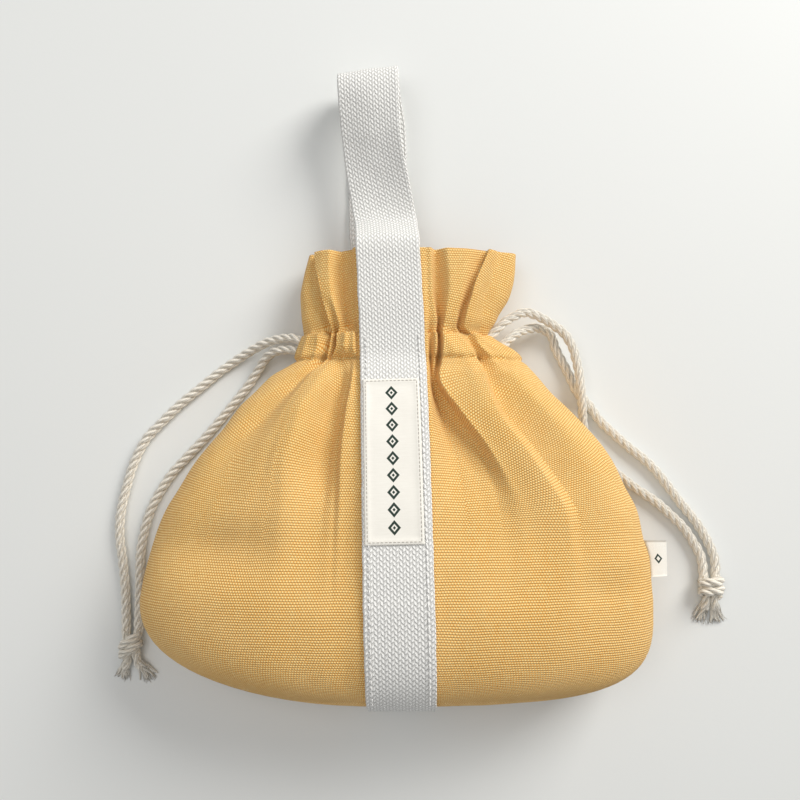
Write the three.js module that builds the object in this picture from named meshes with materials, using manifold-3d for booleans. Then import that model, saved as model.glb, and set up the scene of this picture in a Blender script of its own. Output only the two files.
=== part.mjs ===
import * as THREE from 'three';
import Module from 'manifold-3d';
import { mergeVertices } from 'three/addons/utils/BufferGeometryUtils.js';

// A canvas drawstring pouch that lies on its back, with its handle towards +Y. Millimetres, +Z up.
// While it is built, y starts at the end of the base and x at the middle of the bag.

// Canvas shell
const canvasThickness = 1.2;
const bodyWidth = 298;
const bodyDepth = 76;
const bodyLength = 198;
const baseRound = 58;
const sideSeamHeight = 31;
const restingShare = 0.8;
const neckWidth = 114;
const neckDepth = 42;
const neckSeamHeight = 20;
const casingHeight = 14;
const frillHeight = 52;
const mouthWidth = 130;
const mouthDepth = 40;

// How far the rim dips where a pleat is deep, as a share of the pleat's depth; how a pleat fades down the
// body and how sharp its fold is, as exponents; and how far across, from the strap at 0 to the seam at 1,
// pleats may have a line
const rimDip = 0.4;
const pleatFade = 1.3;
const pleatFold = 1.2;
const pleatEdge = 0.02;

// The stitched lines of the casing: how wide and how deep they pull the cloth in, as shares of the casing's
// height
const stitchReach = 0.2;
const stitchDepth = 0.11;

// How much sooner than the top the side seams reach their full height
const seamLead = 1.6;

// Webbing strap and its handle loop
const webbingWidth = 38;
const webbingThickness = 2;
const webbingGap = 0.5;
const seatMargin = 2;
const seatBlend = 9;
const handleReach = 116;
const handleRise = 29;

// Label and tag
const labelWidth = 32;
const labelLength = 93;
const labelThickness = 0.8;
const labelStart = 93;
const labelSkew = 1.5;
const tagLength = 10;
const tagHeight = 21;
const tagThickness = 1.4;
const tagStart = 70;

// Drawcords and their knots
const cordDiameter = 6;
const cordSides = 8;
const cordStep = 2.8;
const knotLength = 15;
const knotWidth = 15;
const knotThickness = 12;
const tasselLength = 13;
const tasselNeck = 3;
const tasselEnd = 5;
const tasselTip = 4.5;
const tasselFlare = 0.75;
const tasselFlatness = 0.55;

// Gap between pieces that touch in the real pouch
const clearance = 0.3;

// The superellipse exponents of the shell: across its sections, and round the edges of its base
const crownRound = 2.3;
const baseCorner = { left: 2.3, right: 3.7, top: 3.6, bottom: 4 };

const strapSeat = webbingWidth / 2 + seatMargin;
const strapLift = webbingThickness + webbingGap;
const casingTop = bodyLength + casingHeight;
const mouthRim = casingTop + frillHeight;

// Sections of the body, from its widest place to the lower stitches of the casing. along is a share of that
// length; left, right and top are shares of what the body is wider and deeper than the neck.
const bodySections = [
  { along: 0.0, left: 1.0, right: 1.0, top: 1.0 },
  { along: 0.16, left: 0.957, right: 0.99, top: 0.94 },
  { along: 0.25, left: 0.924, right: 0.951, top: 0.88 },
  { along: 0.36, left: 0.859, right: 0.913, top: 0.81 },
  { along: 0.46, left: 0.766, right: 0.836, top: 0.72 },
  { along: 0.56, left: 0.67, right: 0.764, top: 0.63 },
  { along: 0.64, left: 0.576, right: 0.685, top: 0.56 },
  { along: 0.71, left: 0.484, right: 0.598, top: 0.49 },
  { along: 0.8, left: 0.384, right: 0.47, top: 0.39 },
  { along: 0.86, left: 0.291, right: 0.38, top: 0.31 },
  { along: 0.93, left: 0.19, right: 0.3, top: 0.2 },
  { along: 1.0, left: 0.05, right: 0.22, top: 0.05 },
];

// Sections of the casing, as shares of its height and, again, of what the body has over the neck
const casingSections = [
  { along: 0.5, left: 0.02, right: 0.13, top: 0.02 },
  { along: 1.0, left: 0.0, right: 0.0, top: 0.0 },
];

// Sections of the frill, as shares of its height and of what the mouth has over the neck
const frillSections = [
  { along: 0.25, left: 0.2, right: 0.55, top: 0.1 },
  { along: 0.5, left: 0.3, right: 1.5, top: 0.3 },
  { along: 0.75, left: 0.05, right: 1.95, top: 0.7 },
  { along: 1.0, left: -0.35, right: 2.1, top: 1.0 },
];

// Pleats that start at the casing: the face (1 front, -1 back) and side (1 right, -1 left), the place
// across at the casing from 0 at the strap's edge to 1 at the side seam, the same where it fades in the
// body and at the rim, its half width there, its depth as a share of the neck's depth, how far down the
// body it runs as a share of the body's length, and its depth at the rim as a share.
const pleats = [
  { face: 1, side: -1, at: 0.1, foot: 0.12, top: 0.17, wide: 0.1, deep: 0.1, down: 0.42, rim: 1.6 },
  { face: 1, side: -1, at: 0.41, foot: 0.42, top: 0.5, wide: 0.12, deep: 0.07, down: 0.1, rim: 0.2 },
  { face: 1, side: -1, at: 0.6, foot: 0.79, top: 0.72, wide: 0.1, deep: 0.14, down: 0.45, rim: 0.5 },
  { face: 1, side: 1, at: 0.17, foot: 0.26, top: 0.18, wide: 0.13, deep: 0.14, down: 0.4, rim: 1.3 },
  { face: 1, side: 1, at: 0.62, foot: 0.56, top: 0.68, wide: 0.12, deep: 0.14, down: 0.36, rim: 0.9 },
  { face: -1, side: -1, at: 0.3, foot: 0.3, top: 0.3, wide: 0.12, deep: 0.09, down: 0.3, rim: 0.9 },
  { face: -1, side: -1, at: 0.7, foot: 0.7, top: 0.7, wide: 0.12, deep: 0.1, down: 0.4, rim: 0.8 },
  { face: -1, side: 1, at: 0.3, foot: 0.3, top: 0.3, wide: 0.12, deep: 0.09, down: 0.3, rim: 0.9 },
  { face: -1, side: 1, at: 0.7, foot: 0.7, top: 0.7, wide: 0.12, deep: 0.1, down: 0.4, rim: 0.8 },
];

// Billows and dents of the front: the side, the place across (0 to 1 as above) and along (0 at the widest
// section, 1 at the casing), the radius in each direction in the same shares, and the lift as a share of
// the body's depth.
const billows = [
  { side: -1, across: 0.93, along: 0.84, wide: 0.09, long: 0.25, lift: 0.035 },
  { side: -1, across: 0.48, along: 0.84, wide: 0.16, long: 0.22, lift: 0.06 },
  { side: 1, across: 0.17, along: 0.76, wide: 0.11, long: 0.2, lift: -0.13 },
  { side: 1, across: 0.4, along: 0.92, wide: 0.12, long: 0.14, lift: 0.05 },
  { side: 1, across: 0.82, along: 0.8, wide: 0.13, long: 0.22, lift: 0.045 },
  { side: -1, across: 0.61, along: 0.18, wide: 0.28, long: 0.13, lift: -0.05 },
  { side: 1, across: 0.4, along: 0.12, wide: 0.2, long: 0.1, lift: -0.045 },
  { side: 1, across: 0.75, along: 0.06, wide: 0.14, long: 0.1, lift: -0.045 },
];

// The middle line of the strap, front and back, as a sideways place at the base, the casing and the rim
const strapLine = { base: 2.9, frontCasing: -2.2, frontRim: -5.3, backRim: -10 };

// The handle's inner face from the rim to the loop's end and back: along is a share of handleReach, rise a
// share of handleRise above the table's webbing, x its middle, yaw its turn on the table and roll its turn
// about its own line.
const handleLine = [
  { along: 0.05, rise: 1.22, x: -5.6, yaw: 1, roll: 0 },
  { along: 0.11, rise: 0.96, x: -6.1, yaw: 3, roll: 0 },
  { along: 0.165, rise: 0.77, x: -6.8, yaw: 5, roll: 0 },
  { along: 0.23, rise: 0.7, x: -8.1, yaw: 6, roll: -3 },
  { along: 0.32, rise: 0.72, x: -9.9, yaw: 7, roll: -7 },
  { along: 0.45, rise: 0.8, x: -12.6, yaw: 7, roll: -13 },
  { along: 0.6, rise: 0.9, x: -15.0, yaw: 7, roll: -16 },
  { along: 0.75, rise: 0.98, x: -16.5, yaw: 7, roll: -12 },
  { along: 0.87, rise: 1.0, x: -17.4, yaw: 7, roll: -6 },
  { along: 0.945, rise: 0.92, x: -17.8, yaw: 8, roll: -2 },
  { along: 0.985, rise: 0.74, x: -17.9, yaw: 8, roll: 0 },
  { along: 1.0, rise: 0.46, x: -17.7, yaw: 8, roll: 0 },
  { along: 0.98, rise: 0.2, x: -17.2, yaw: 8, roll: 0 },
  { along: 0.93, rise: 0.05, x: -16.4, yaw: 8, roll: 0 },
  { along: 0.86, rise: 0.0, x: -15.2, yaw: 7, roll: 0 },
  { along: 0.72, rise: 0.0, x: -13.2, yaw: 4, roll: 0 },
  { along: 0.4, rise: 0.0, x: -12.5, yaw: 2, roll: 0 },
  { along: 0.15, rise: 0.0, x: -11.8, yaw: 1, roll: 0 },
];

// Free routes of the drawcord strands, from the casing to the knots: x, y and height of the middle of the
// cord
const cordRoutes = {
  drawcord_left_outer: [
    [-59.5, 211, 20], [-65, 213, 18], [-72, 213, 15], [-82, 211, 11], [-93, 206, 6.5], [-103, 200, 3.8],
    [-113, 193, 3.1], [-125, 183, 3.1], [-137, 173, 3.1], [-149, 161, 3.1], [-158, 151, 3.1], [-165, 137, 3.1],
    [-170, 120, 3.1], [-173, 104, 3.1], [-173, 89, 3.1], [-171, 76, 3.1], [-169, 60, 3.1], [-168, 46, 3.2],
    [-167, 30.7, 4.4],
  ],
  drawcord_left_inner: [
    [-60.5, 204.5, 18.5], [-66, 206, 16.5], [-75, 205.5, 13], [-82, 202, 8.5], [-88, 194, 4.7], [-94, 185, 3.2],
    [-101, 176, 3.1], [-109, 166, 3.1], [-119, 154, 3.1], [-130, 142, 3.1], [-140, 131, 3.1], [-148, 119, 3.1],
    [-154, 107, 3.1], [-158, 93, 3.1], [-160, 79, 3.1], [-160, 63, 3.1], [-160, 48, 3.2], [-159.7, 30.7, 4.4],
  ],
  drawcord_right_under: [
    [72, 214.5, 17.5], [77, 217.5, 14], [83, 220, 10.5], [91, 221, 5.5], [98, 217, 3.3], [101, 208, 3.1],
    [105, 200, 3.1], [109, 192, 3.1], [114, 181, 3.1], [121, 173, 3.1], [128, 163, 3.1], [136, 155, 3.1],
    [146, 146, 3.1], [157, 137, 3.1], [166, 127, 3.1], [177, 112, 3.1], [187.5, 98.5, 3.1], [195, 85, 3.1],
    [198, 75, 3.6], [197.6, 64.3, 4.4],
  ],
  drawcord_right_over: [
    [64, 220.5, 21.5], [70, 225, 20], [79, 229, 17.5], [88, 227, 15], [98, 222, 11.5], [105, 217, 9.8],
    [110, 209, 9.4], [112, 202, 9.4], [114, 192, 9.6], [115, 182, 9.8], [116, 172, 8], [117, 162, 4.6],
    [119, 153, 3.2], [124.5, 143, 3.1], [135.5, 132, 3.1], [149, 121, 3.1], [162, 112, 3.1], [171, 104, 3.1],
    [179, 96, 3.1], [185.5, 86, 3.1], [189.5, 77, 3.6], [190.4, 64.3, 4.4],
  ],
};

// Each knot lies over the ends of its two strands; its tassels fan out from it by these angles from -Y
const knots = {
  knot_left: { x: -163.5, y: 22.5, fan: [-32, 38] },
  knot_right: { x: 194, y: 56, fan: [-20, 24] },
};

const radians = THREE.MathUtils.degToRad;
const smoothstep = THREE.MathUtils.smoothstep;
const lerp = THREE.MathUtils.lerp;

/** A monotone cubic curve through (key, value) pairs, as a function of the key. */
function monotoneCurve(keys, values) {
  const chords = keys.slice(1).map((key, i) => (values[i + 1] - values[i]) / (key - keys[i]));
  const slopes = keys.map((key, i) => {
    const before = chords[Math.max(i - 1, 0)];
    const after = chords[Math.min(i, chords.length - 1)];
    return before * after <= 0 ? 0 : (2 * before * after) / (before + after);
  });
  return (at) => {
    const last = keys.length - 2;
    const found = keys.findIndex((key, i) => i <= last && at <= keys[i + 1]);
    const i = found < 0 ? last : found;
    const span = keys[i + 1] - keys[i];
    const t = THREE.MathUtils.clamp((at - keys[i]) / span, 0, 1);
    const [t2, t3] = [t * t, t * t * t];
    const start = values[i] * (2 * t3 - 3 * t2 + 1) + slopes[i] * span * (t3 - 2 * t2 + t);
    return start + values[i + 1] * (3 * t2 - 2 * t3) + slopes[i + 1] * span * (t3 - t2);
  };
}

// The tables above as sections in millimetres
const spread = (bodyWidth - neckWidth) / 2;
const flare = (mouthWidth - neckWidth) / 2;
const wallLength = bodyLength - baseRound;
const fromNeck = (row, y) => ({
  y,
  left: neckWidth / 2 + spread * row.left,
  right: neckWidth / 2 + spread * row.right,
  top: lerp(neckDepth, bodyDepth, row.top),
  seam: lerp(neckSeamHeight, sideSeamHeight, Math.min(1, row.top * seamLead)),
});
const sections = [
  ...bodySections.map((row) => fromNeck(row, baseRound + wallLength * row.along)),
  ...casingSections.map((row) => fromNeck(row, bodyLength + casingHeight * row.along)),
  ...frillSections.map((row) => ({
    y: casingTop + frillHeight * row.along,
    left: neckWidth / 2 + flare * row.left,
    right: neckWidth / 2 + flare * row.right,
    top: lerp(neckDepth, mouthDepth, row.top),
    seam: neckSeamHeight,
  })),
];
const sectionColumn = (name) => monotoneCurve(sections.map((row) => row.y), sections.map((row) => row[name]));
const leftAt = sectionColumn('left');
const rightAt = sectionColumn('right');
const topAt = sectionColumn('top');
const seamAt = sectionColumn('seam');

const frontLine = [strapLine.base, strapLine.frontCasing, strapLine.frontRim];
const frontLineAt = monotoneCurve([0, bodyLength, mouthRim], frontLine);
const backLineAt = (y) => lerp(strapLine.base, strapLine.backRim, y / mouthRim);

const pleatsOf = (face, side) => pleats.filter((row) => row.face === face && row.side === side);

/**
 * How far a pleat has run from the lower stitches towards its foot, and from the upper ones towards the
 * rim.
 */
const pleatRun = (pleat, y) => ({
  below: Math.min(1, Math.max(0, bodyLength - y) / (pleat.down * bodyLength)),
  above: Math.max(0, y - casingTop) / frillHeight,
});

/** Where a lengthwise line of the cloth lies across at y: the lines follow the pleats. */
function drift({ face, side, across }, y) {
  const stops = pleatsOf(face, side).map((pleat) => {
    const { below, above } = pleatRun(pleat, y);
    const shift = (pleat.foot - pleat.at) * below + (pleat.top - pleat.at) * above;
    return { from: pleat.at, to: pleat.at + shift };
  });
  const all = [{ from: 0, to: 0 }, ...stops, { from: 1, to: 1 }];
  const i = Math.max(1, all.findIndex((stop) => across <= stop.from));
  return THREE.MathUtils.mapLinear(across, all[i - 1].from, all[i].from, all[i - 1].to, all[i].to);
}

/** How far the pleats, billows and dents push the cloth in (-) or out (+) at this place. */
function relief({ face, side, across }, y) {
  let push = 0;
  for (const pleat of pleatsOf(face, side)) {
    const { below, above } = pleatRun(pleat, y);
    const fade = (1 - below) ** pleatFade * lerp(1, pleat.rim, above);
    const fold = Math.max(0, 1 - Math.abs(across - pleat.at) / pleat.wide) ** pleatFold;
    push -= pleat.deep * neckDepth * fade * fold;
  }
  const along = (y - baseRound) / wallLength;
  for (const billow of billows.filter((row) => face > 0 && row.side === side)) {
    const far = ((across - billow.across) / billow.wide) ** 2 + ((along - billow.along) / billow.long) ** 2;
    push += billow.lift * bodyDepth * Math.exp(-far);
  }
  return push;
}

/** The stitched lines of the casing pull the cloth in. */
function stitchPinch(y) {
  const reach = casingHeight * stitchReach;
  const near = Math.exp(-(((y - bodyLength) / reach) ** 2)) + Math.exp(-(((y - casingTop) / reach) ** 2));
  return -casingHeight * stitchDepth * near;
}

/** One point of the shell's outer face: a lengthwise line of the cloth where it crosses the section at y. */
function sectionPoint(line, y) {
  const { face, side, lane } = line;
  const half = side > 0 ? rightAt(y) : leftAt(y);
  const [top, seam, pinch] = [topAt(y), seamAt(y), stitchPinch(y)];
  const axis = face > 0 ? frontLineAt(y) : backLineAt(y);
  if (lane !== undefined) return { x: axis + strapSeat * lane, y, z: face > 0 ? top + pinch : strapLift };
  const edge = axis + side * strapSeat;
  const x = lerp(edge, side * half, drift(line, y));
  const share = Math.min(1, Math.abs(x) / half);
  const free = smoothstep(Math.abs(x - edge), 0, seatBlend);
  const folded = relief(line, y);
  const push = (folded + pinch) * free;
  const hem = y + rimDip * folded * Math.max(0, y - casingTop) / frillHeight;
  const round = (1 - share ** crownRound) ** (1 / crownRound);
  if (face > 0) {
    const rise = top - seam;
    const slope = [(side * share ** (crownRound - 1)) / half, round ** (crownRound - 1) / rise];
    const out = new THREE.Vector2(...slope).normalize();
    const crown = lerp(top, seam + rise * round, free);
    return { x: x + out.x * push, y: hem, z: crown + out.y * push + (1 - free) * pinch };
  }
  const lifted = (1 - Math.min(1, Math.sqrt(1 - share ** crownRound) / restingShare)) ** 2;
  return { x, y: hem, z: lerp(strapLift, seam * lifted, free) - Math.min(0, push) * (1 - lifted) };
}

/**
 * The same for a ring of the rounded base: swell 0 is its middle, 90 degrees its widest section. The cloth
 * keeps the strap's own curve wherever the strap lies on it.
 */
function basePoint(line, swell) {
  const rim = sectionPoint(line, baseRound);
  const middle = baseMiddle();
  const half = line.side > 0 ? rightAt(baseRound) : leftAt(baseRound);
  const sideways = line.lane === undefined ? Math.min(1, (Math.abs(rim.x) / half) ** crownRound) : 0;
  const corner = line.side > 0 ? baseCorner.right : baseCorner.left;
  const edge = line.face > 0 ? baseCorner.top : baseCorner.bottom;
  const exponent = 2 / lerp(edge, corner, sideways);
  const [ring, depth] = [Math.sin(swell) ** exponent, Math.cos(swell) ** exponent];
  const [x, z] = [lerp(middle.x, rim.x, ring), lerp(middle.z, rim.z, ring)];
  const place = { x, y: baseRound * (1 - depth), z };
  if (line.lane !== undefined) return place;
  const seat = basePoint({ ...line, lane: 0 }, swell);
  const free = smoothstep(Math.abs(place.x - middle.x), strapSeat, strapSeat + seatBlend);
  const seated = (1 - free) * (1 - sideways);
  return { x: place.x, y: lerp(place.y, seat.y, seated), z: lerp(place.z, seat.z, seated) };
}

/** The middle of the base. */
function baseMiddle() {
  return { x: strapLine.base, z: sideSeamHeight };
}

// Where the rings of the shell lie: swell angles round the base, then shares of the body, the casing and
// the frill
const columnStep = radians(6);
const baseRings = [7, 16, 29, 43, 57, 71].map(radians);
const bodyShares = [0, 0.1, 0.2, 0.3, 0.4, 0.5, 0.6, 0.69, 0.77, 0.84, 0.9, 0.955, 1];
const wallRings = [
  ...bodyShares.map((share) => baseRound + wallLength * share),
  ...[0.5, 1].map((share) => bodyLength + casingHeight * share),
  ...[0.1, 0.28, 0.48, 0.66, 0.84, 1].map((share) => casingTop + frillHeight * share),
];

/**
 * The lengthwise lines of the cloth between the strap's edge and the side seam: each pleat's bottom and
 * shoulders, and steps between them that are even in angle, so that they close up towards the seam.
 */
function panelLines(face, side) {
  const places = pleatsOf(face, side).flatMap(({ at, wide }) => [at - wide, at, at + wide]);
  const inside = places.filter((place) => place > pleatEdge && place < 1 - pleatEdge);
  const angles = [0, ...inside.map(Math.asin), Math.PI / 2];
  angles.sort((a, b) => a - b);
  const lines = [];
  angles.slice(1).forEach((next, i) => {
    const parts = Math.max(1, Math.round((next - angles[i]) / columnStep));
    for (let k = 0; k < parts; k += 1) {
      lines.push({ face, side, across: Math.sin(lerp(angles[i], next, k / parts)) });
    }
  });
  return lines;
}

/** All lengthwise lines in order round the shell, from the right seam over the front and back under it. */
function clothLines() {
  const seamLine = (side) => ({ face: 1, side, across: 1 });
  const lane = (face) => ({ face, side: 1, across: 0, lane: 0 });
  return [
    seamLine(1), ...panelLines(1, 1).reverse(), lane(1), ...panelLines(1, -1),
    seamLine(-1), ...panelLines(-1, -1).reverse(), lane(-1), ...panelLines(-1, 1),
  ];
}

/** A geometry from vertices and triangles. */
function meshGeometry(vertices, triangles) {
  const geometry = new THREE.BufferGeometry();
  geometry.setAttribute('position', new THREE.Float32BufferAttribute(vertices.flat(), 3));
  geometry.setIndex(triangles);
  geometry.computeVertexNormals();
  return geometry;
}

/**
 * The shell: an outer face, the same face moved inwards by the cloth's thickness, and a rim that joins
 * them.
 */
function canvasGeometry() {
  const lines = clothLines();
  const count = lines.length;
  const rings = [
    ...baseRings.map((swell) => lines.map((line) => basePoint(line, swell))),
    ...wallRings.map((y) => lines.map((line) => sectionPoint(line, y))),
  ];
  const middle = baseMiddle();
  const outer = [[middle.x, 0, middle.z], ...rings.flat().map(({ x, y, z }) => [x, y, z])];
  const faces = [];
  for (let k = 0; k < count; k += 1) {
    const next = (k + 1) % count;
    faces.push([0, 1 + k, 1 + next]);
    for (let ring = 0; ring + 1 < rings.length; ring += 1) {
      const [a, b] = [1 + ring * count + k, 1 + ring * count + next];
      faces.push([a, a + count, b + count], [a, b + count, b]);
    }
  }
  const skin = meshGeometry(outer, faces.flat());
  const normals = skin.getAttribute('normal');
  const inner = outer.map(([x, y, z], i) => [
    x - normals.getX(i) * canvasThickness,
    y - normals.getY(i) * canvasThickness,
    z - normals.getZ(i) * canvasThickness,
  ]);
  const shift = outer.length;
  const rimStart = 1 + (rings.length - 1) * count;
  const lining = faces.map(([a, b, c]) => [a + shift, c + shift, b + shift]);
  const rim = lines.flatMap((line, k) => {
    const [a, b] = [rimStart + k, rimStart + ((k + 1) % count)];
    return [[a, a + shift, b + shift], [a, b + shift, b]];
  });
  return meshGeometry([...outer, ...inner], [...faces, ...lining, ...rim].flat());
}

/** The strap's inner face as frames: its middle, the direction across it and its turn. The line is closed. */
function strapFrames() {
  const flat = { yaw: 0, roll: 0 };
  const middleLine = (face) => ({ face, side: 1, across: 0, lane: 0 });
  const front = [
    ...baseRings.map((swell) => basePoint(middleLine(1), swell)),
    ...wallRings.map((y) => ({ y, z: topAt(y) })),
  ].map((place) => ({ ...place, ...flat, x: frontLineAt(place.y) }));
  const back = [
    ...baseRings.map((swell) => basePoint(middleLine(-1), swell)),
    ...wallRings.map((y) => ({ y, z: strapLift })),
  ].map((place) => ({ ...place, ...flat, x: backLineAt(place.y) }));
  const handle = handleLine.map((row) => ({
    x: row.x,
    y: mouthRim + handleReach * row.along,
    z: strapLift + handleRise * row.rise,
    yaw: radians(row.yaw),
    roll: radians(row.roll),
  }));
  return [{ ...baseMiddle(), y: 0, ...flat }, ...front, ...handle, ...back.reverse()];
}

/**
 * A band's cross-sections along frames, each as four corners: the band starts near and ends far from the
 * line.
 */
function bandSections(frames, width, near, far, closed) {
  const points = frames.map(({ x, y, z }) => new THREE.Vector3(x, y, z));
  const last = points.length - 1;
  return frames.map((frame, i) => {
    const before = closed ? points[(i + last) % points.length] : points[Math.max(i - 1, 0)];
    const after = closed ? points[(i + 1) % points.length] : points[Math.min(i + 1, last)];
    const arriving = points[i].clone().sub(before).normalize();
    const leaving = after.clone().sub(points[i]).normalize();
    const along = arriving.clone().add(leaving).normalize();
    const level = new THREE.Vector3(Math.cos(frame.yaw), Math.sin(frame.yaw), 0);
    const heading = level.applyAxisAngle(along, frame.roll);
    const mitre = Math.max(0.5, along.dot(arriving.lengthSq() > 0 ? arriving : leaving));
    const out = new THREE.Vector3().crossVectors(heading, along).normalize().divideScalar(mitre);
    const edge = (side) => points[i].clone().addScaledVector(heading, (side * width) / 2);
    const corners = [[-1, near], [1, near], [1, far], [-1, far]];
    return corners.map(([side, reach]) => edge(side).addScaledVector(out, reach));
  });
}

/** A solid band from its cross-sections, as a closed ring or with two ends. */
function bandGeometry(rows, closed) {
  const vertices = rows.flat().map((point) => point.toArray());
  const faces = [];
  const steps = closed ? rows.length : rows.length - 1;
  for (let i = 0; i < steps; i += 1) {
    const [a, b] = [4 * i, 4 * ((i + 1) % rows.length)];
    for (let k = 0; k < 4; k += 1) {
      const next = (k + 1) % 4;
      faces.push([a + k, b + next, a + next], [a + k, b + k, b + next]);
    }
  }
  if (!closed) {
    const end = 4 * (rows.length - 1);
    faces.push([0, 1, 2], [0, 2, 3], [end, end + 2, end + 1], [end, end + 3, end + 2]);
  }
  return meshGeometry(vertices, faces.flat());
}

/** The frames of the front strap between two places along the bag, with both ends added. */
function labelFrames() {
  const upper = labelStart + labelLength;
  const stops = [labelStart, ...wallRings.filter((y) => y > labelStart && y < upper), upper];
  const strapHeight = (y) => {
    const i = wallRings.findIndex((ring) => ring >= y);
    const [low, high] = [wallRings[i - 1], wallRings[i]];
    return lerp(topAt(low), topAt(high), (y - low) / (high - low));
  };
  return stops.map((y) => ({ x: frontLineAt(y) - labelSkew, y, z: strapHeight(y), yaw: 0, roll: 0 }));
}

/** The tag is a small folded cloth whose inner edge follows the right side seam. */
function tagGeometry() {
  const high = tagStart + tagHeight;
  const seamLine = { face: 1, side: 1, across: 1 };
  const wall = wallRings.map((y) => new THREE.Vector2(sectionPoint(seamLine, y).x + 2 * clearance, y));
  const wallAt = (y) => {
    const i = wall.findIndex((place) => place.y >= y);
    return wall[i - 1].clone().lerp(wall[i], (y - wall[i - 1].y) / (wall[i].y - wall[i - 1].y));
  };
  const inner = [wallAt(tagStart), ...wall.filter(({ y }) => y > tagStart && y < high), wallAt(high)];
  const reach = Math.max(...inner.map(({ x }) => x)) + tagLength;
  const ends = [new THREE.Vector2(reach, tagStart), new THREE.Vector2(reach, high)];
  const shape = new THREE.Shape([...inner.reverse(), ...ends]);
  const tag = new THREE.ExtrudeGeometry(shape, { depth: tagThickness, bevelEnabled: false });
  return tag.translate(0, 0, seamAt(tagStart) - tagThickness / 2);
}

/** A strand: an eight-sided section carried along its route. */
function cordGeometry(route) {
  const line = new THREE.CatmullRomCurve3(route.map((point) => new THREE.Vector3(...point)));
  const corners = Array.from({ length: cordSides }, (_, k) => {
    const turn = (2 * Math.PI * (k + 0.5)) / cordSides;
    return new THREE.Vector2(Math.cos(turn), Math.sin(turn)).multiplyScalar(cordDiameter / 2);
  });
  const steps = Math.round(line.getLength() / (cordStep * cordDiameter));
  return new THREE.ExtrudeGeometry(new THREE.Shape(corners), { steps, extrudePath: line });
}

const wasm = await Module();
wasm.setup();

/** A closed geometry as a solid that can be joined to others. */
function asSolid(geometry) {
  const bare = geometry.clone();
  bare.deleteAttribute('normal');
  bare.deleteAttribute('uv');
  const merged = mergeVertices(bare, 1e-4);
  return new wasm.Manifold(new wasm.Mesh({
    numProp: 3,
    vertProperties: merged.getAttribute('position').array,
    triVerts: merged.getIndex().array,
  }));
}

/** A solid back as a geometry. */
function asGeometry(solid) {
  const mesh = solid.getMesh();
  const geometry = new THREE.BufferGeometry();
  geometry.setAttribute('position', new THREE.BufferAttribute(mesh.vertProperties, 3));
  geometry.setIndex(new THREE.BufferAttribute(mesh.triVerts, 1));
  geometry.computeVertexNormals();
  return geometry;
}

/** A knot: a round lump with its frayed ends fused to it, lying on the table. */
function knotGeometry({ fan }) {
  const lump = new THREE.SphereGeometry(0.5, 14, 9).scale(knotWidth, knotLength, knotThickness);
  const reach = knotLength / 2 + tasselLength;
  const profile = [[0, 0], [tasselNeck, 0], [tasselEnd, tasselFlare], [tasselTip, 1], [0, 1]];
  const points = profile.map(([radius, share]) => new THREE.Vector2(radius, reach * share));
  let knot = asSolid(lump.translate(0, 0, knotThickness / 2));
  for (const angle of fan) {
    const frayed = new THREE.LatheGeometry(points, 10);
    frayed.scale(1, 1, tasselFlatness).rotateZ(Math.PI + radians(angle));
    knot = knot.add(asSolid(frayed.translate(0, 0, tasselEnd * tasselFlatness + clearance)));
  }
  return asGeometry(knot);
}

const canvasMaterial = new THREE.MeshStandardMaterial({ color: 0xf0bd62, roughness: 0.92, metalness: 0 });
const webbingMaterial = new THREE.MeshStandardMaterial({ color: 0xe9e7e2, roughness: 0.9, metalness: 0 });
const labelMaterial = new THREE.MeshStandardMaterial({ color: 0xf3ead6, roughness: 0.85, metalness: 0 });
const tagMaterial = new THREE.MeshStandardMaterial({ color: 0xf1e9d8, roughness: 0.85, metalness: 0 });
const cordMaterial = new THREE.MeshStandardMaterial({ color: 0xe8e0d0, roughness: 0.95, metalness: 0 });

/** A named piece. */
function piece(name, geometry, material) {
  const mesh = new THREE.Mesh(geometry, material);
  mesh.name = name;
  return mesh;
}

const bag = new THREE.Group();
bag.add(piece('canvas_body', canvasGeometry(), canvasMaterial));
const strapRows = bandSections(strapFrames(), webbingWidth, webbingGap, webbingGap + webbingThickness, true);
bag.add(piece('webbing_strap', bandGeometry(strapRows, true), webbingMaterial));
const labelFloor = webbingGap + webbingThickness + clearance;
const labelRows = bandSections(labelFrames(), labelWidth, labelFloor, labelFloor + labelThickness, false);
bag.add(piece('woven_label', bandGeometry(labelRows, false), labelMaterial));
bag.add(piece('side_tag', tagGeometry(), tagMaterial));

const cords = new THREE.Group();
for (const [name, route] of Object.entries(cordRoutes)) {
  cords.add(piece(name, cordGeometry(route), cordMaterial));
}
for (const [name, knot] of Object.entries(knots)) {
  const lump = piece(name, knotGeometry(knot), cordMaterial);
  lump.position.set(knot.x, knot.y, 0);
  cords.add(lump);
}

// The origin is the middle of the bag's outline, on the table
const outline = new THREE.Box3().setFromObject(bag);
const centre = outline.getCenter(new THREE.Vector3());
const pouch = new THREE.Group();
pouch.add(bag, cords);
pouch.position.set(-centre.x, -centre.y, -outline.min.z);

export default pouch;
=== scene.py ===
"""A gathered canvas drawstring pouch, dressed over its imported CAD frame.

Shapes are worked out in millimetres in the frame that the pouch is built in, where y starts at the end of the base
and x at the middle of the bag, and are placed in the row's frame in metres. The pouch lies on its back, +Z up.
"""

import logging
import math
from dataclasses import dataclass, field
from enum import Enum
from typing import Callable, Sequence

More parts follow.
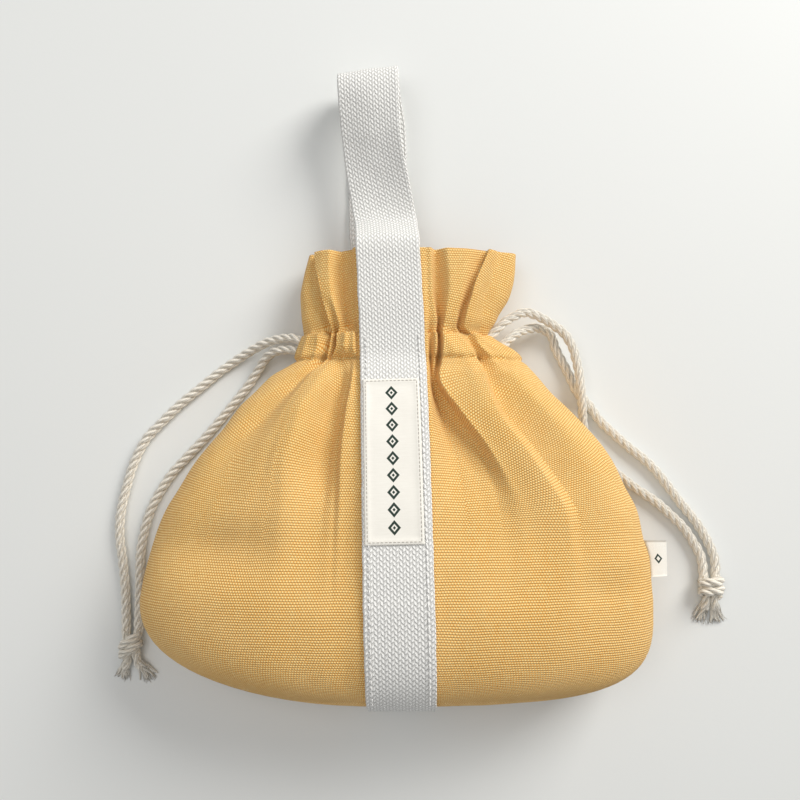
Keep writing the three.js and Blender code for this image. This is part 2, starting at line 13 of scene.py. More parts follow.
import bpy
import numpy as np
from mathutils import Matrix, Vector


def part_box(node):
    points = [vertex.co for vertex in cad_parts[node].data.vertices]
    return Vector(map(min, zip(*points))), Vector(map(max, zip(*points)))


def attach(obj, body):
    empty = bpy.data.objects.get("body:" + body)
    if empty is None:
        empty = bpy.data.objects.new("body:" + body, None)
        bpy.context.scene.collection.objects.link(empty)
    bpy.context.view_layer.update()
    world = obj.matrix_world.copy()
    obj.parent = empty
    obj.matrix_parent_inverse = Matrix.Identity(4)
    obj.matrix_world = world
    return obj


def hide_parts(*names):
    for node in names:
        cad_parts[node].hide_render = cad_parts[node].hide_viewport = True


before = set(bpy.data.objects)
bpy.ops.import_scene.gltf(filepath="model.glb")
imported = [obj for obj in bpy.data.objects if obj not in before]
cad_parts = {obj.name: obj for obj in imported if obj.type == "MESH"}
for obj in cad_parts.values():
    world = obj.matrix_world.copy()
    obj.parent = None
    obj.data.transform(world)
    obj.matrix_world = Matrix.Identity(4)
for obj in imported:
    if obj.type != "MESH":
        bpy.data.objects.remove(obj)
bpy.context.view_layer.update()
LOG = logging.getLogger("pouch")

MM = 0.001
BODY = "root"
Array = np.ndarray


class Side(Enum):
    """The two halves of the bag, left and right of the strap."""

    LEFT = -1
    RIGHT = 1


class Face(Enum):
    """The upper face of the lying bag and the one that it lies on."""

    FRONT = 1
    BACK = -1


class FoldKind(Enum):
    """What a fold line of the cloth is; a flank only steepens the side of a fold."""

    CREST = "crest"
    VALLEY = "valley"
    FLANK = "flank"


@dataclass(frozen=True)
class BagSizes:
    """Driving sizes of the bag in millimetres, as the CAD source has them."""

    cloth: float = 1.2
    body_width: float = 298.0
    body_depth: float = 76.0
    body_length: float = 198.0
    base_round: float = 58.0
    side_seam_height: float = 31.0
    resting_share: float = 0.8
    neck_width: float = 114.0
    neck_depth: float = 42.0
    neck_seam_height: float = 20.0
    casing_height: float = 14.0
    frill_height: float = 52.0
    mouth_width: float = 130.0
    mouth_depth: float = 40.0
    crown_round: float = 2.3
    webbing_width: float = 38.0
    webbing_thickness: float = 2.0
    webbing_gap: float = 0.5
    handle_reach: float = 116.0
    handle_rise: float = 29.0
    label_width: float = 32.0
    label_length: float = 93.0
    label_start: float = 93.0
    label_skew: float = 1.5
    tag_length: float = 10.0
    tag_height: float = 21.0
    tag_start: float = 70.0
    cord: float = 6.0

    @property
    def casing_top(self) -> float:
        """Where the upper stitches of the casing are."""
        return self.body_length + self.casing_height

    @property
    def rim(self) -> float:
        """Where the frill ends."""
        return self.casing_top + self.frill_height

    @property
    def strap_lift(self) -> float:
        """How high the bag lies over the strap at its back."""
        return self.webbing_gap + self.webbing_thickness


SIZES = BagSizes()

# Where the building frame lies in the row's frame, read from two CAD nodes
ORIGIN = np.array([
    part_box("canvas_body")[0].x / MM + SIZES.body_width / 2,
    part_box("webbing_strap")[0].y / MM + SIZES.strap_lift,
    0.0,
])

# Sections of the body, the casing and the frill, as the CAD source has them: the share of the stretch, then what the
# left half, the right half and the depth have over the neck, as shares of what the body or the mouth has
BODY_SECTIONS = (
    (0.0, 1.0, 1.0, 1.0), (0.16, 0.957, 0.99, 0.94), (0.25, 0.924, 0.951, 0.88), (0.36, 0.859, 0.913, 0.81),
    (0.46, 0.766, 0.836, 0.72), (0.56, 0.67, 0.764, 0.63), (0.64, 0.576, 0.685, 0.56), (0.71, 0.484, 0.598, 0.49),
    (0.8, 0.384, 0.47, 0.39), (0.86, 0.291, 0.38, 0.31), (0.93, 0.19, 0.3, 0.2), (1.0, 0.05, 0.22, 0.05),
)
CASING_SECTIONS = ((0.5, 0.02, 0.13, 0.02), (1.0, 0.0, 0.0, 0.0))
FRILL_SECTIONS = ((0.25, 0.2, 0.55, 0.1), (0.5, 0.3, 1.5, 0.3), (0.75, 0.05, 1.95, 0.7), (1.0, -0.35, 2.1, 1.0))

# The strap's middle line at the base, the casing and the rim, front and back
STRAP_FRONT = (2.9, -2.2, -5.3)
STRAP_BACK = (2.9, -10.0)

# The handle's inner face from the rim round its end and back: shares of its reach and rise, x, yaw and roll
HANDLE = (
    (0.05, 1.22, -5.6, 1, 0), (0.11, 0.96, -6.1, 3, 0), (0.165, 0.77, -6.8, 5, 0), (0.23, 0.7, -8.1, 6, -3),
    (0.32, 0.72, -9.9, 7, -7), (0.45, 0.8, -12.6, 7, -13), (0.6, 0.9, -15.0, 7, -16), (0.75, 0.98, -16.5, 7, -12),
    (0.87, 1.0, -17.4, 7, -6), (0.945, 0.92, -17.8, 8, -2), (0.985, 0.74, -17.9, 8, 0), (1.0, 0.46, -17.7, 8, 0),
    (0.98, 0.2, -17.2, 8, 0), (0.93, 0.05, -16.4, 8, 0), (0.86, 0.0, -15.2, 7, 0), (0.72, 0.0, -13.2, 4, 0),
    (0.4, 0.0, -12.5, 2, 0), (0.15, 0.0, -11.8, 1, 0),
)

# Free routes of the four drawcord strands, from the casing to the knots
CORD_ROUTES = {
    "drawcord_left_outer": (
        (-59.5, 211, 20), (-65, 213, 18), (-72, 213, 15), (-82, 211, 11), (-93, 206, 6.5), (-103, 200, 3.8),
        (-113, 193, 3.1), (-125, 183, 3.1), (-137, 173, 3.1), (-149, 161, 3.1), (-158, 151, 3.1), (-165, 137, 3.1),
        (-170, 120, 3.1), (-173, 104, 3.1), (-173, 89, 3.1), (-171, 76, 3.1), (-169, 60, 3.1), (-168, 46, 3.2),
        (-167, 30.7, 4.4),
    ),
    "drawcord_left_inner": (
        (-60.5, 204.5, 18.5), (-66, 206, 16.5), (-75, 205.5, 13), (-82, 202, 8.5), (-88, 194, 4.7), (-94, 185, 3.2),
        (-101, 176, 3.1), (-109, 166, 3.1), (-119, 154, 3.1), (-130, 142, 3.1), (-140, 131, 3.1), (-148, 119, 3.1),
        (-154, 107, 3.1), (-158, 93, 3.1), (-160, 79, 3.1), (-160, 63, 3.1), (-160, 48, 3.2), (-159.7, 30.7, 4.4),
    ),
    "drawcord_right_under": (
        (72, 214.5, 17.5), (77, 217.5, 14), (83, 220, 10.5), (91, 221, 5.5), (98, 217, 3.3), (101, 208, 3.1),
        (105, 200, 3.1), (109, 192, 3.1), (114, 181, 3.1), (121, 173, 3.1), (128, 163, 3.1), (136, 155, 3.1),
        (146, 146, 3.1), (157, 137, 3.1), (166, 127, 3.1), (177, 112, 3.1), (187.5, 98.5, 3.1), (195, 85, 3.1),
        (198, 75, 3.6), (197.6, 64.3, 4.4),
    ),
    "drawcord_right_over": (
        (64, 220.5, 21.5), (70, 225, 20), (79, 229, 17.5), (88, 227, 15), (98, 222, 11.5), (105, 217, 9.8),
        (110, 209, 9.4), (112, 202, 9.4), (114, 192, 9.6), (115, 182, 9.8), (116, 172, 8), (117, 162, 4.6),
        (119, 153, 3.2), (124.5, 143, 3.1), (135.5, 132, 3.1), (149, 121, 3.1), (162, 112, 3.1), (171, 104, 3.1),
        (179, 96, 3.1), (185.5, 86, 3.1), (189.5, 77, 3.6), (190.4, 64.3, 4.4),
    ),
}


class Curve:
    """A monotone cubic curve through (key, value) pairs: value = Hermite(t) with harmonic-mean slopes."""

    def __init__(self, keys: Sequence[float], values: Sequence[float]) -> None:
        """Stores the pairs and their slopes.

        Args:
            keys: Rising keys.
            values: The value at each key.
        """
        self.keys = np.asarray(keys, float)
        self.values = np.asarray(values, float)
        chords = np.diff(self.values) / np.diff(self.keys)
        before, after = np.r_[chords[0], chords], np.r_[chords, chords[-1]]
        total = np.where(np.abs(before + after) < 1e-9, 1.0, before + after)
        self.slopes = np.where(before * after <= 0, 0.0, 2 * before * after / total)

    def __call__(self, at: Array) -> Array:
        """The curve's value.

        Args:
            at: Keys, kept within the curve's ends.

        Returns:
            The values at those keys.
        """
        at = np.asarray(at, float)
        i = np.clip(np.searchsorted(self.keys, at) - 1, 0, len(self.keys) - 2)
        span = self.keys[i + 1] - self.keys[i]
        t = np.clip((at - self.keys[i]) / span, 0.0, 1.0)
        start = self.values[i] * (2 * t**3 - 3 * t**2 + 1) + self.slopes[i] * span * (t**3 - 2 * t**2 + t)
        end = self.values[i + 1] * (3 * t**2 - 2 * t**3) + self.slopes[i + 1] * span * (t**3 - t**2)
        return start + end


def smooth(value: Array, low: float, high: float) -> Array:
    """Smoothstep: 3t^2 - 2t^3 with t the place of value between low and high.

    Args:
        value: The values.
        low: Where the step starts.
        high: Where it ends.

    Returns:
        0 below low, 1 above high, smooth between.
    """
    t = np.clip((np.asarray(value, float) - low) / (high - low), 0.0, 1.0)
    return t * t * (3 - 2 * t)


def bell(value: Array, middle: float, width: float) -> Array:
    """A bump exp(-((value - middle) / width)^2).

    Args:
        value: The values.
        middle: Where the bump is highest.
        width: Its half width.

    Returns:
        The bump's height, 1 at its middle.
    """
    return np.exp(-(((value - middle) / width) ** 2))


def noise(u: Array, v: Array, seed: int) -> Array:
    """Smooth lattice noise of unit cell: random values at whole numbers, blended by smoothstep.

    Args:
        u: First coordinate, in cells.
        v: Second coordinate, in cells.
        seed: Picks the lattice.

    Returns:
        Values from -1 to 1.
    """
    lattice = np.random.default_rng(seed).uniform(-1, 1, (64, 64))
    u, v = np.broadcast_arrays(np.asarray(u, float), np.asarray(v, float))
    i, j = np.floor(u).astype(int), np.floor(v).astype(int)
    s, t = smooth(u - i, 0, 1), smooth(v - j, 0, 1)
    low = lattice[i % 64, j % 64] * (1 - s) + lattice[(i + 1) % 64, j % 64] * s
    high = lattice[i % 64, (j + 1) % 64] * (1 - s) + lattice[(i + 1) % 64, (j + 1) % 64] * s
    return low * (1 - t) + high * t


def unit(vectors: Array) -> Array:
    """The vectors at length 1.

    Args:
        vectors: Vectors along the last axis.

    Returns:
        The same directions at length 1.
    """
    return vectors / np.maximum(np.linalg.norm(vectors, axis=-1, keepdims=True), 1e-12)


def smooth_path(points: Array, step: float, closed: bool = False) -> Array:
    """A Catmull-Rom line through rows of numbers, sampled evenly along the length of its first three columns.

    Args:
        points: Rows: x, y, z and any further columns.
        step: The wanted distance between samples.
        closed: Whether the line goes back to its first row.

    Returns:
        The rows of the samples; a closed line doesn't repeat its first.
    """
    rows = np.asarray(points, float)
    if closed:
        ring = np.vstack([rows[-1:], rows, rows[:2]])
    else:
        ring = np.vstack([2 * rows[:1] - rows[1:2], rows, 2 * rows[-1:] - rows[-2:-1]])
    t = np.linspace(0, 1, 40, endpoint=False)[:, None]
    a, b, c, d = ring[:-3, None], ring[1:-2, None], ring[2:-1, None], ring[3:, None]
    fine = 0.5 * (2 * b + (c - a) * t + (2 * a - 5 * b + 4 * c - d) * t**2 + (3 * b - a - 3 * c + d) * t**3)
    fine = np.vstack([fine.reshape(-1, rows.shape[1]), rows[:1] if closed else rows[-1:]])
    length = np.r_[0, np.cumsum(np.linalg.norm(np.diff(fine[:, :3], axis=0), axis=1))]
    count = max(4, int(round(length[-1] / step)))
    at = np.linspace(0, length[-1], count + 1)
    line = np.stack([np.interp(at, length, fine[:, k]) for k in range(fine.shape[1])], axis=1)
    return line[:-1] if closed else line


def grid_faces(rows: int, columns: int, wrap_rows: bool = False, wrap_columns: bool = False, start: int = 0) -> Array:
    """Quads of a grid of vertices numbered row by row.

    Args:
        rows: The number of rows.
        columns: The number of columns.
        wrap_rows: Whether the last row joins the first.
        wrap_columns: Whether the last column joins the first.
        start: The number of the grid's first vertex.

    Returns:
        The quads, (row, column), (row + 1, column), (row + 1, column + 1), (row, column + 1).
    """
    r = np.arange(rows if wrap_rows else rows - 1)[:, None]
    c = np.arange(columns if wrap_columns else columns - 1)[None, :]
    up, across = (r + 1) % rows, (c + 1) % columns
    quads = [r * columns + c, up * columns + c, up * columns + across, r * columns + across]
    return np.stack(np.broadcast_arrays(*quads), axis=-1).reshape(-1, 4) + start


@dataclass
class Shape:
    """A mesh as it is gathered: vertices in millimetres, faces, and a UV for each corner in millimetres of cloth."""

    vertices: list[Array] = field(default_factory=list)
    faces: list[Array] = field(default_factory=list)
    corners: list[Array] = field(default_factory=list)
    count: int = 0

    def add(self, vertices: Array, faces: Array, uv: Array | None = None) -> None:
        """Adds vertices and faces that number them from 0.

        Args:
            vertices: Places, one row each.
            faces: Quads or triangles.
            uv: A UV for each corner of each face, or for each vertex, or None for zeros.
        """
        points = np.asarray(vertices, float).reshape(-1, 3)
        faces = np.asarray(faces, int)
        if uv is None:
            uv = np.zeros((len(points), 2))
        uv = np.asarray(uv, float)
        self.corners.append((uv if uv.ndim == 3 else uv[faces]).reshape(-1, 2))
        self.faces.append(faces + self.count)
        self.vertices.append(points)
        self.count += len(points)

    def build(self, name: str) -> bpy.types.Object:
        """Makes the Blender object, smooth-shaded, in metres in the row's frame.

        Args:
            name: The piece's name.

        Returns:
            The object, linked to the scene.
        """
        places = (np.vstack(self.vertices) + ORIGIN) * MM
        mesh = bpy.data.meshes.new(name)
        mesh.from_pydata(places.tolist(), [], [face for block in self.faces for face in block.tolist()])
        layer = mesh.uv_layers.new(name="cloth")
        layer.data.foreach_set("uv", np.vstack(self.corners).ravel())
        mesh.polygons.foreach_set("use_smooth", np.ones(len(mesh.polygons), bool))
        mesh.update()
        piece = bpy.data.objects.new(name, mesh)
        bpy.context.scene.collection.objects.link(piece)
        return piece


def tube(shape: Shape, line: Array, radius: Array, sides: int) -> None:
    """Adds a round tube with closed ends along a line: centre + r (cos a N + sin a B).

    Args:
        shape: What it is added to.
        line: The centreline.
        radius: The radius at each of its points.
        sides: How many sides it has.
    """
    normal, side, _ = line_frames(line)
    angle = np.linspace(0, 2 * math.pi, sides, endpoint=False)
    radius = np.broadcast_to(radius, (len(line),))[:, None, None]
    ring = np.cos(angle)[None, :, None] * normal[:, None] + np.sin(angle)[None, :, None] * side[:, None]
    grid = line[:, None] + radius * ring
    along = np.r_[0, np.cumsum(np.linalg.norm(np.diff(line, axis=0), axis=1))]
    around = angle[None, :] / (2 * math.pi) + 0 * along[:, None]
    uv = np.stack([around, np.broadcast_to(along[:, None], around.shape)], axis=-1)
    ends = [line[0], line[-1]]
    count = len(line) * sides
    faces = grid_faces(len(line), sides, wrap_columns=True)[:, ::-1]
    shape.add(np.vstack([grid.reshape(-1, 3), ends]), faces, np.vstack([uv.reshape(-1, 2), [[0, 0], [0, along[-1]]]]))
    k = np.arange(sides)
    first = np.stack([np.full(sides, count), (k + 1) % sides, k], axis=1)
    last = np.stack([np.full(sides, count + 1), k, (k + 1) % sides], axis=1)
    last[:, 1:] += count - sides
    base = shape.count - len(ends) - count
    caps = np.vstack([first, last]) + base
    shape.faces.append(caps)
    shape.corners.append(np.zeros((caps.size, 2)))


def line_frames(line: Array) -> tuple[Array, Array, Array]:
    """Directions along a line: N the upward normal, B = T x N and T the tangent, so that N x B = T.

    Args:
        line: The line's points.

    Returns:
        N, B and T for each point.
    """
    tangent = unit(np.gradient(line, axis=0))
    up = np.array([0.0, 0.0, 1.0]) + 1e-3 * np.array([1.0, 0.7, 0.0])
    normal = unit(up - tangent * (tangent @ up)[:, None])
    return normal, np.cross(tangent, normal), tangent


# The fold lines of the front, each with its place and height at these distances along the bag: the rim, two heights
# of the frill, the casing's top, middle and bottom, and the body down to its widest section
STATIONS = (264, 238, 218, 212, 205, 198, 186, 168, 145, 110, 58)


@dataclass(frozen=True)
class Fold:
    """A crest or valley line of the cloth between the strap's edge (0) and the side seam (1).

    Args:
        kind: Whether it is a crest or a valley.
        across: Its place at each station.
        height: How far it stands out at each station, in millimetres.
    """

    kind: FoldKind
    across: tuple[float, ...]
    height: tuple[float, ...]


CREST, VALLEY, FLANK = FoldKind
LEFT_FOLDS = (
    Fold(VALLEY, (0.02, 0.02, 0.02, 0.02, 0.02, 0.02, 0.02, 0.02, 0.02, 0.03, 0.03),
         (-3, -3, -3, -4, -4, -3, -1, 0, 0, 0, 0)),
    Fold(CREST, (0.10, 0.11, 0.10, 0.07, 0.06, 0.06, 0.07, 0.10, 0.11, 0.10, 0.10),
         (-4, -3, -3, 0.5, 0.8, -0.5, 0.4, 0.6, 0.6, 0.4, 0)),
    Fold(FLANK, (0.22, 0.2, 0.16, 0.14, 0.14, 0.15, 0.11, 0.135, 0.145, 0.135, 0.13),
         (-5, -5, -4.5, 0.5, 0.9, -1.5, -2.8, -6, -5.5, -2.4, 0)),
    Fold(VALLEY, (0.35, 0.29, 0.22, 0.21, 0.21, 0.27, 0.2, 0.2, 0.2, 0.19, 0.19),
         (-6, -7, -6, 0.5, 1, -2.5, -6, -10, -10, -4.5, 0)),
    Fold(CREST, (0.56, 0.45, 0.34, 0.38, 0.36, 0.42, 0.42, 0.45, 0.44, 0.38, 0.36),
         (1, 1, 0, 0.3, 0.8, -1, 1, 2.5, 3, 2, 0)),
    Fold(VALLEY, (0.68, 0.55, 0.39, 0.415, 0.395, 0.46, 0.48, 0.50, 0.49, 0.44, 0.44),
         (1, 1, -4, -7, -6, -2.5, 0.5, 2, 2.5, 1.5, 0)),
    Fold(CREST, (0.86, 0.62, 0.50, 0.48, 0.48, 0.50, 0.53, 0.56, 0.55, 0.52, 0.52),
         (0.5, 0.8, -0.5, -0.7, -0.8, -1, 0, 1, 1.5, 1, 0)),
    Fold(VALLEY, (0.89, 0.60, 0.54, 0.53, 0.53, 0.55, 0.62, 0.70, 0.77, 0.72, 0.7),
         (-4, -5, -6, -7, -7, -6, -4.5, -3.5, -2.5, -1, 0)),
    Fold(CREST, (0.96, 0.78, 0.71, 0.71, 0.70, 0.73, 0.79, 0.86, 0.90, 0.88, 0.86),
         (-4, -3, -2, 0.8, -0.8, 0.8, 1.5, 1.5, 1, 0, 0)),
)
RIGHT_FOLDS = (
    Fold(VALLEY, (0.05, 0.05, 0.07, 0.08, 0.05, 0.04, 0.04, 0.09, 0.14, 0.155, 0.15),
         (0, -0.5, -2, -4, -6, -6.5, -9, -12, -9, -3, 0)),
    Fold(FLANK, (0.09, 0.09, 0.16, 0.15, 0.11, 0.08, 0.055, 0.125, 0.20, 0.235, 0.22),
         (0.5, 0, -1, -0.5, -1, -2, -8.5, -12, -9.2, -3.2, 0)),
    Fold(VALLEY, (0.15, 0.16, 0.23, 0.23, 0.17, 0.14, 0.08, 0.17, 0.27, 0.31, 0.3),
         (-5, -7, -8, -8, -8, -7.5, -8.8, -11, -8, -2.8, 0)),
    Fold(CREST, (0.27, 0.30, 0.28, 0.26, 0.19, 0.155, 0.10, 0.20, 0.32, 0.42, 0.41),
         (0.5, 0.8, -0.5, 0.2, 1, 1.2, 0.3, 1, 1.2, 0.4, 0)),
    Fold(CREST, (0.41, 0.41, 0.43, 0.50, 0.48, 0.48, 0.465, 0.44, 0.505, 0.6, 0.58),
         (0.3, 0.3, 0, -1, 0, 2.6, 3.8, 4.2, 3.8, 2.2, 0)),
    Fold(VALLEY, (0.69, 0.55, 0.52, 0.66, 0.56, 0.54, 0.53, 0.51, 0.58, 0.67, 0.65),
         (-3, -4.5, -6, -4, -4, -4.5, -4, -3.2, -2.4, -1, 0)),
    Fold(CREST, (0.68, 0.54, 0.56, 0.73, 0.64, 0.66, 0.72, 0.78, 0.83, 0.86, 0.84),
         (1.5, 2, 1, -0.5, 0, 0.4, 1, 1.2, 1, 0.5, 0)),
    Fold(VALLEY, (0.84, 0.75, 0.83, 0.9, 0.79, 0.8, 0.86, 0.91, 0.93, 0.93, 0.92),
         (-2.5, -2.5, -1.5, -2.5, -4, -1.5, 0, 0.5, 0.4, 0.2, 0)),
)
BACK_FOLDS = (
    Fold(CREST, (0.14,) * 11, (0,) * 11),
    Fold(VALLEY, (0.3,) * 11, (-3.4, -3.6, -3.8, -4, -4, -4, -3, -1.6, -0.6, 0, 0)),
    Fold(CREST, (0.48,) * 11, (0,) * 11),
    Fold(VALLEY, (0.7,) * 11, (-3.4, -3.6, -4, -4.2, -4.2, -4.2, -3.4, -2, -1, 0, 0)),
    Fold(CREST, (0.86,) * 11, (0,) * 11),
)

# Billows and dents of the front: side, place across and along the body, both radii in the same shares, lift in mm
BILLOWS = (
    (Side.LEFT, 0.48, 0.80, 0.18, 0.25, 2.0), (Side.LEFT, 0.62, 0.22, 0.3, 0.1, -5.0),
    (Side.LEFT, 0.5, 0.02, 0.3, 0.1, 2.0), (Side.LEFT, 0.08, 0.3, 0.07, 0.3, -2.6),
    (Side.RIGHT, 0.42, 0.3, 0.2, 0.28, -4.0), (Side.RIGHT, 0.75, 0.04, 0.14, 0.1, -3.2),
    (Side.RIGHT, 0.82, 0.8, 0.13, 0.22, 3.0), (Side.LEFT, 0.93, 0.84, 0.09, 0.25, 2.5),
)


@dataclass
class Panel:
    """A quarter of the shell, from the strap's edge to a side seam, with its fold lines.

    Args:
        face: The bag's face.
        side: Its side.
        folds: The fold lines in order from the strap.
    """

    face: Face
    side: Side
    folds: tuple[Fold, ...]

    def lines(self, y: Array) -> tuple[Array, Array]:
        """Places and heights of all lines, the panel's two edges among them.

        Args:
            y: Distances along the bag.

        Returns:
            Two arrays, a row for each y and a column for each line.
        """
        keys = STATIONS[::-1]
        across = [Curve(keys, fold.across[::-1])(y) for fold in self.folds]
        height = [Curve(keys, fold.height[::-1])(y) for fold in self.folds]
        zero, one = np.zeros_like(y), np.ones_like(y)
        return np.stack([zero, *across, one], axis=1), np.stack([zero, *height, zero], axis=1)

    def columns(self, widest: float, step: float) -> Array:
        """Where the panel's columns lie between its lines, closer where the cloth is folded closer.

        Args:
            widest: The panel's width where it is widest.
            step: The wanted distance between columns there.

        Returns:
            A row for each column: the line before it and its share of the way to the next.
        """
        across, height = self.lines(np.array(STATIONS, float))
        span = np.abs(np.diff(across, axis=1)) * widest
        fall = np.abs(np.diff(height, axis=1)).max(axis=0)
        counts = np.clip(np.round(np.maximum(span.max(axis=0) / step, fall * 1.1)), 3, 40).astype(int)
        rows = [np.stack([np.full(n, k), np.arange(n) / n], axis=1) for k, n in enumerate(counts)]
        return np.vstack(rows)


class BagForm:
    """The bag's form: its sections as curves along it, and the surface that they and the folds make."""

    SEAT = 19.6
    SEAT_BLEND = 3.0
    BASE_BLEND = 9.0
    BASE_CORNER = {"left": 2.3, "right": 3.7, "top": 2.8, "bottom": 4.0}
    LANES = (0.66, 0.33, 0.0, -0.33, -0.66)

    def __init__(self, sizes: BagSizes) -> None:
        """Works out the curves.

        Args:
            sizes: The driving sizes.
        """
        self.sizes = sizes
        rows = []
        wall = sizes.body_length - sizes.base_round
        spread = (sizes.body_width - sizes.neck_width) / 2
        flare = (sizes.mouth_width - sizes.neck_width) / 2
        stretches = (
            (BODY_SECTIONS, sizes.base_round, wall),
            (CASING_SECTIONS, sizes.body_length, sizes.casing_height),
        )
        for sections, start, length in stretches:
            for along, left, right, top in sections:
                seam = (sizes.side_seam_height - sizes.neck_seam_height) * min(1.0, 1.6 * top)
                depth = (sizes.body_depth - sizes.neck_depth) * top
                rows.append((start + length * along, spread * left, spread * right, depth, seam))
        for along, left, right, top in FRILL_SECTIONS:
            depth = (sizes.mouth_depth - sizes.neck_depth) * top
            rows.append((sizes.casing_top + sizes.frill_height * along, flare * left, flare * right, depth, 0.0))
        table = np.array(rows)
        y = table[:, 0]
        self.left = Curve(y, sizes.neck_width / 2 + table[:, 1])
        self.right = Curve(y, sizes.neck_width / 2 + table[:, 2])
        self.top = Curve(y, sizes.neck_depth + table[:, 3])
        self.seam = Curve(y, sizes.neck_seam_height + table[:, 4])
        self.front_axis = Curve((0, sizes.body_length, sizes.rim), STRAP_FRONT)
        self.back_axis = Curve((0, sizes.rim), STRAP_BACK)

    def ledge(self, y: Array) -> tuple[Array, Array]:
        """The stitched tunnel of the casing: how far it moves the cloth along and out.

        Out is a tube's swell between the stitched lines, minus a narrow pinch at each; along pushes the tunnel's top
        over the stitches, so that the frill comes out from under a crisp edge.

        Args:
            y: Distances along the bag.

        Returns:
            The shift along and the lift out, in millimetres.
        """
        low, high = self.sizes.body_length, self.sizes.casing_top
        share = np.clip((y - low) / (high - low), 0, 1)
        swell = 1.5 * np.sqrt(np.maximum(0, np.sin(math.pi * share**1.15))) * (y < high + 0.4)
        lower = -1.5 * bell(y, low, 1.3) - 0.5 * bell(y, low - 3, 4)
        upper = -2.0 * smooth(y, high - 0.4, high + 0.6) * (1 - smooth(y, high + 1.5, high + 11))
        along = 1.7 * smooth(y, high - 6, high - 0.6) * (1 - smooth(y, high - 0.4, high + 0.9))
        return along, swell * (y > low) + lower + upper

    def surface(self, panels: Sequence[Panel], table: Array, y: Array) -> Array:
        """Points of the outer face: each column where it crosses the sections at y.

        On the front z = seam + (top - seam) (1 - |x / half|^n)^(1/n), moved along the section's normal by the folds;
        on the back the cloth lies flat and lifts towards the seams.

        Args:
            panels: The four panels.
            table: A row for each column: panel, line before it, share to the next line, lane (or nan).
            y: The rows' distances along the bag.

        Returns:
            Points, a row for each y and a column for each column.
        """
        size = self.sizes
        owner, line, share_on = table[:, 0].astype(int), table[:, 1].astype(int), table[:, 2]
        lane = np.broadcast_to(table[:, 3], (len(y), len(table)))
        face = np.array([panels[k].face.value for k in owner])
        side = np.array([panels[k].side.value for k in owner])
        label = np.zeros((len(y), len(table)))
        height = np.zeros_like(label)
        bend = smooth(share_on, 0, 1)
        for k, panel in enumerate(panels):
            across, heights = panel.lines(y)
            mine = owner == k
            at = line[mine]
            after = np.minimum(at + 1, across.shape[1] - 1)
            label[:, mine] = across[:, at] + (across[:, after] - across[:, at]) * share_on[mine]
            height[:, mine] = heights[:, at] + (heights[:, after] - heights[:, at]) * bend[mine]
        rows = y[:, None]
        half = np.where(side > 0, self.right(rows), self.left(rows))
        top, seam = self.top(rows), self.seam(rows)
        axis = np.where(face > 0, self.front_axis(rows), self.back_axis(rows))
        along, out = self.ledge(rows)
        edge = axis + side * self.SEAT
        x = edge + (side * half - edge) * label
        share = np.minimum(1.0, np.abs(x) / half)
        free = smooth(np.abs(x - edge), 0, self.SEAT_BLEND)
        wrinkle = self.wrinkles(rows, x, label, side, face)
        push = (height + out + wrinkle + self.billows(rows, label, side, face)) * free
        n = size.crown_round
        arch = np.maximum(0, 1 - share**n) ** (1 / n)
        slope = np.stack([side * share ** (n - 1) / half, arch ** (n - 1) / (top - seam)], axis=-1)
        slope = unit(slope)
        crown = top + (seam + (top - seam) * arch - top) * free
        front = np.stack([x + slope[..., 0] * push, rows + along * free, crown + slope[..., 1] * push], axis=-1)
        lifted = (1 - np.minimum(1, np.sqrt(np.maximum(0, 1 - share**n)) / size.resting_share)) ** 2
        rise = size.strap_lift + (seam * lifted - size.strap_lift) * free - np.minimum(0, push) * (1 - lifted)
        back = np.stack([x, rows + 0 * x, rise], axis=-1)
        points = np.where((face > 0)[None, :, None], front, back)
        pinch = np.minimum(0, out)
        strip = np.where(face > 0, top + pinch, size.strap_lift + 0 * top)
        seat = np.stack([axis + self.SEAT * np.nan_to_num(lane), rows + 0 * x, strip], axis=-1)
        return np.where(np.isnan(lane)[..., None], points, seat)

    def billows(self, y: Array, label: Array, side: Array, face: Array) -> Array:
        """Soft swells and dents of the front, a sum of bumps exp(-(du^2 + dv^2)).

        Args:
            y: Rows' distances along the bag.
            label: Places across.
            side: Each column's side.
            face: Each column's face.

        Returns:
            The lift at each point, in millimetres.
        """
        along = (y - self.sizes.base_round) / (self.sizes.body_length - self.sizes.base_round)
        lift = np.zeros_like(label)
        for owner, across, place, wide, long, high in BILLOWS:
            near = np.exp(-(((label - across) / wide) ** 2) - ((along - place) / long) ** 2)
            lift += high * near * ((side == owner.value) & (face > 0))
        return lift

    def wrinkles(self, y: Array, x: Array, label: Array, side: Array, face: Array) -> Array:
        """Fine wrinkles: puckers that fan out of both stitched lines, and the slow waves of heavy cloth.

        Args:
            y: Rows' distances along the bag.
            x: Places across, in millimetres.
            label: Places across as shares.
            side: Each column's side.
            face: Each column's face.

        Returns:
            The lift at each point, in millimetres.
        """
        size = self.sizes
        seed = np.where(face > 0, 11.0, 40.0) + 7.0 * side
        below = np.exp(-np.maximum(0, size.body_length - y) / 16) * (y < size.casing_top)
        above = np.exp(-np.maximum(0, y - size.casing_top) / 9) * (y > size.body_length)
        pucker = noise(label * 13 + seed, y / 60 + seed, 5) * 0.9 * below
        pucker += noise(label * 15 + seed, y / 40 - seed, 6) * 0.7 * above
        tunnel = bell(y, (size.body_length + size.casing_top) / 2, 7)
        pucker += noise(label * 17 + seed, y / 30, 7) * 0.5 * tunnel
        waves = noise(x / 46 + seed, y / 40, 8) * 0.8 + noise(x / 17 + seed, y / 21, 9) * 0.28
        return pucker + waves * smooth(np.abs(x), 22, 40)

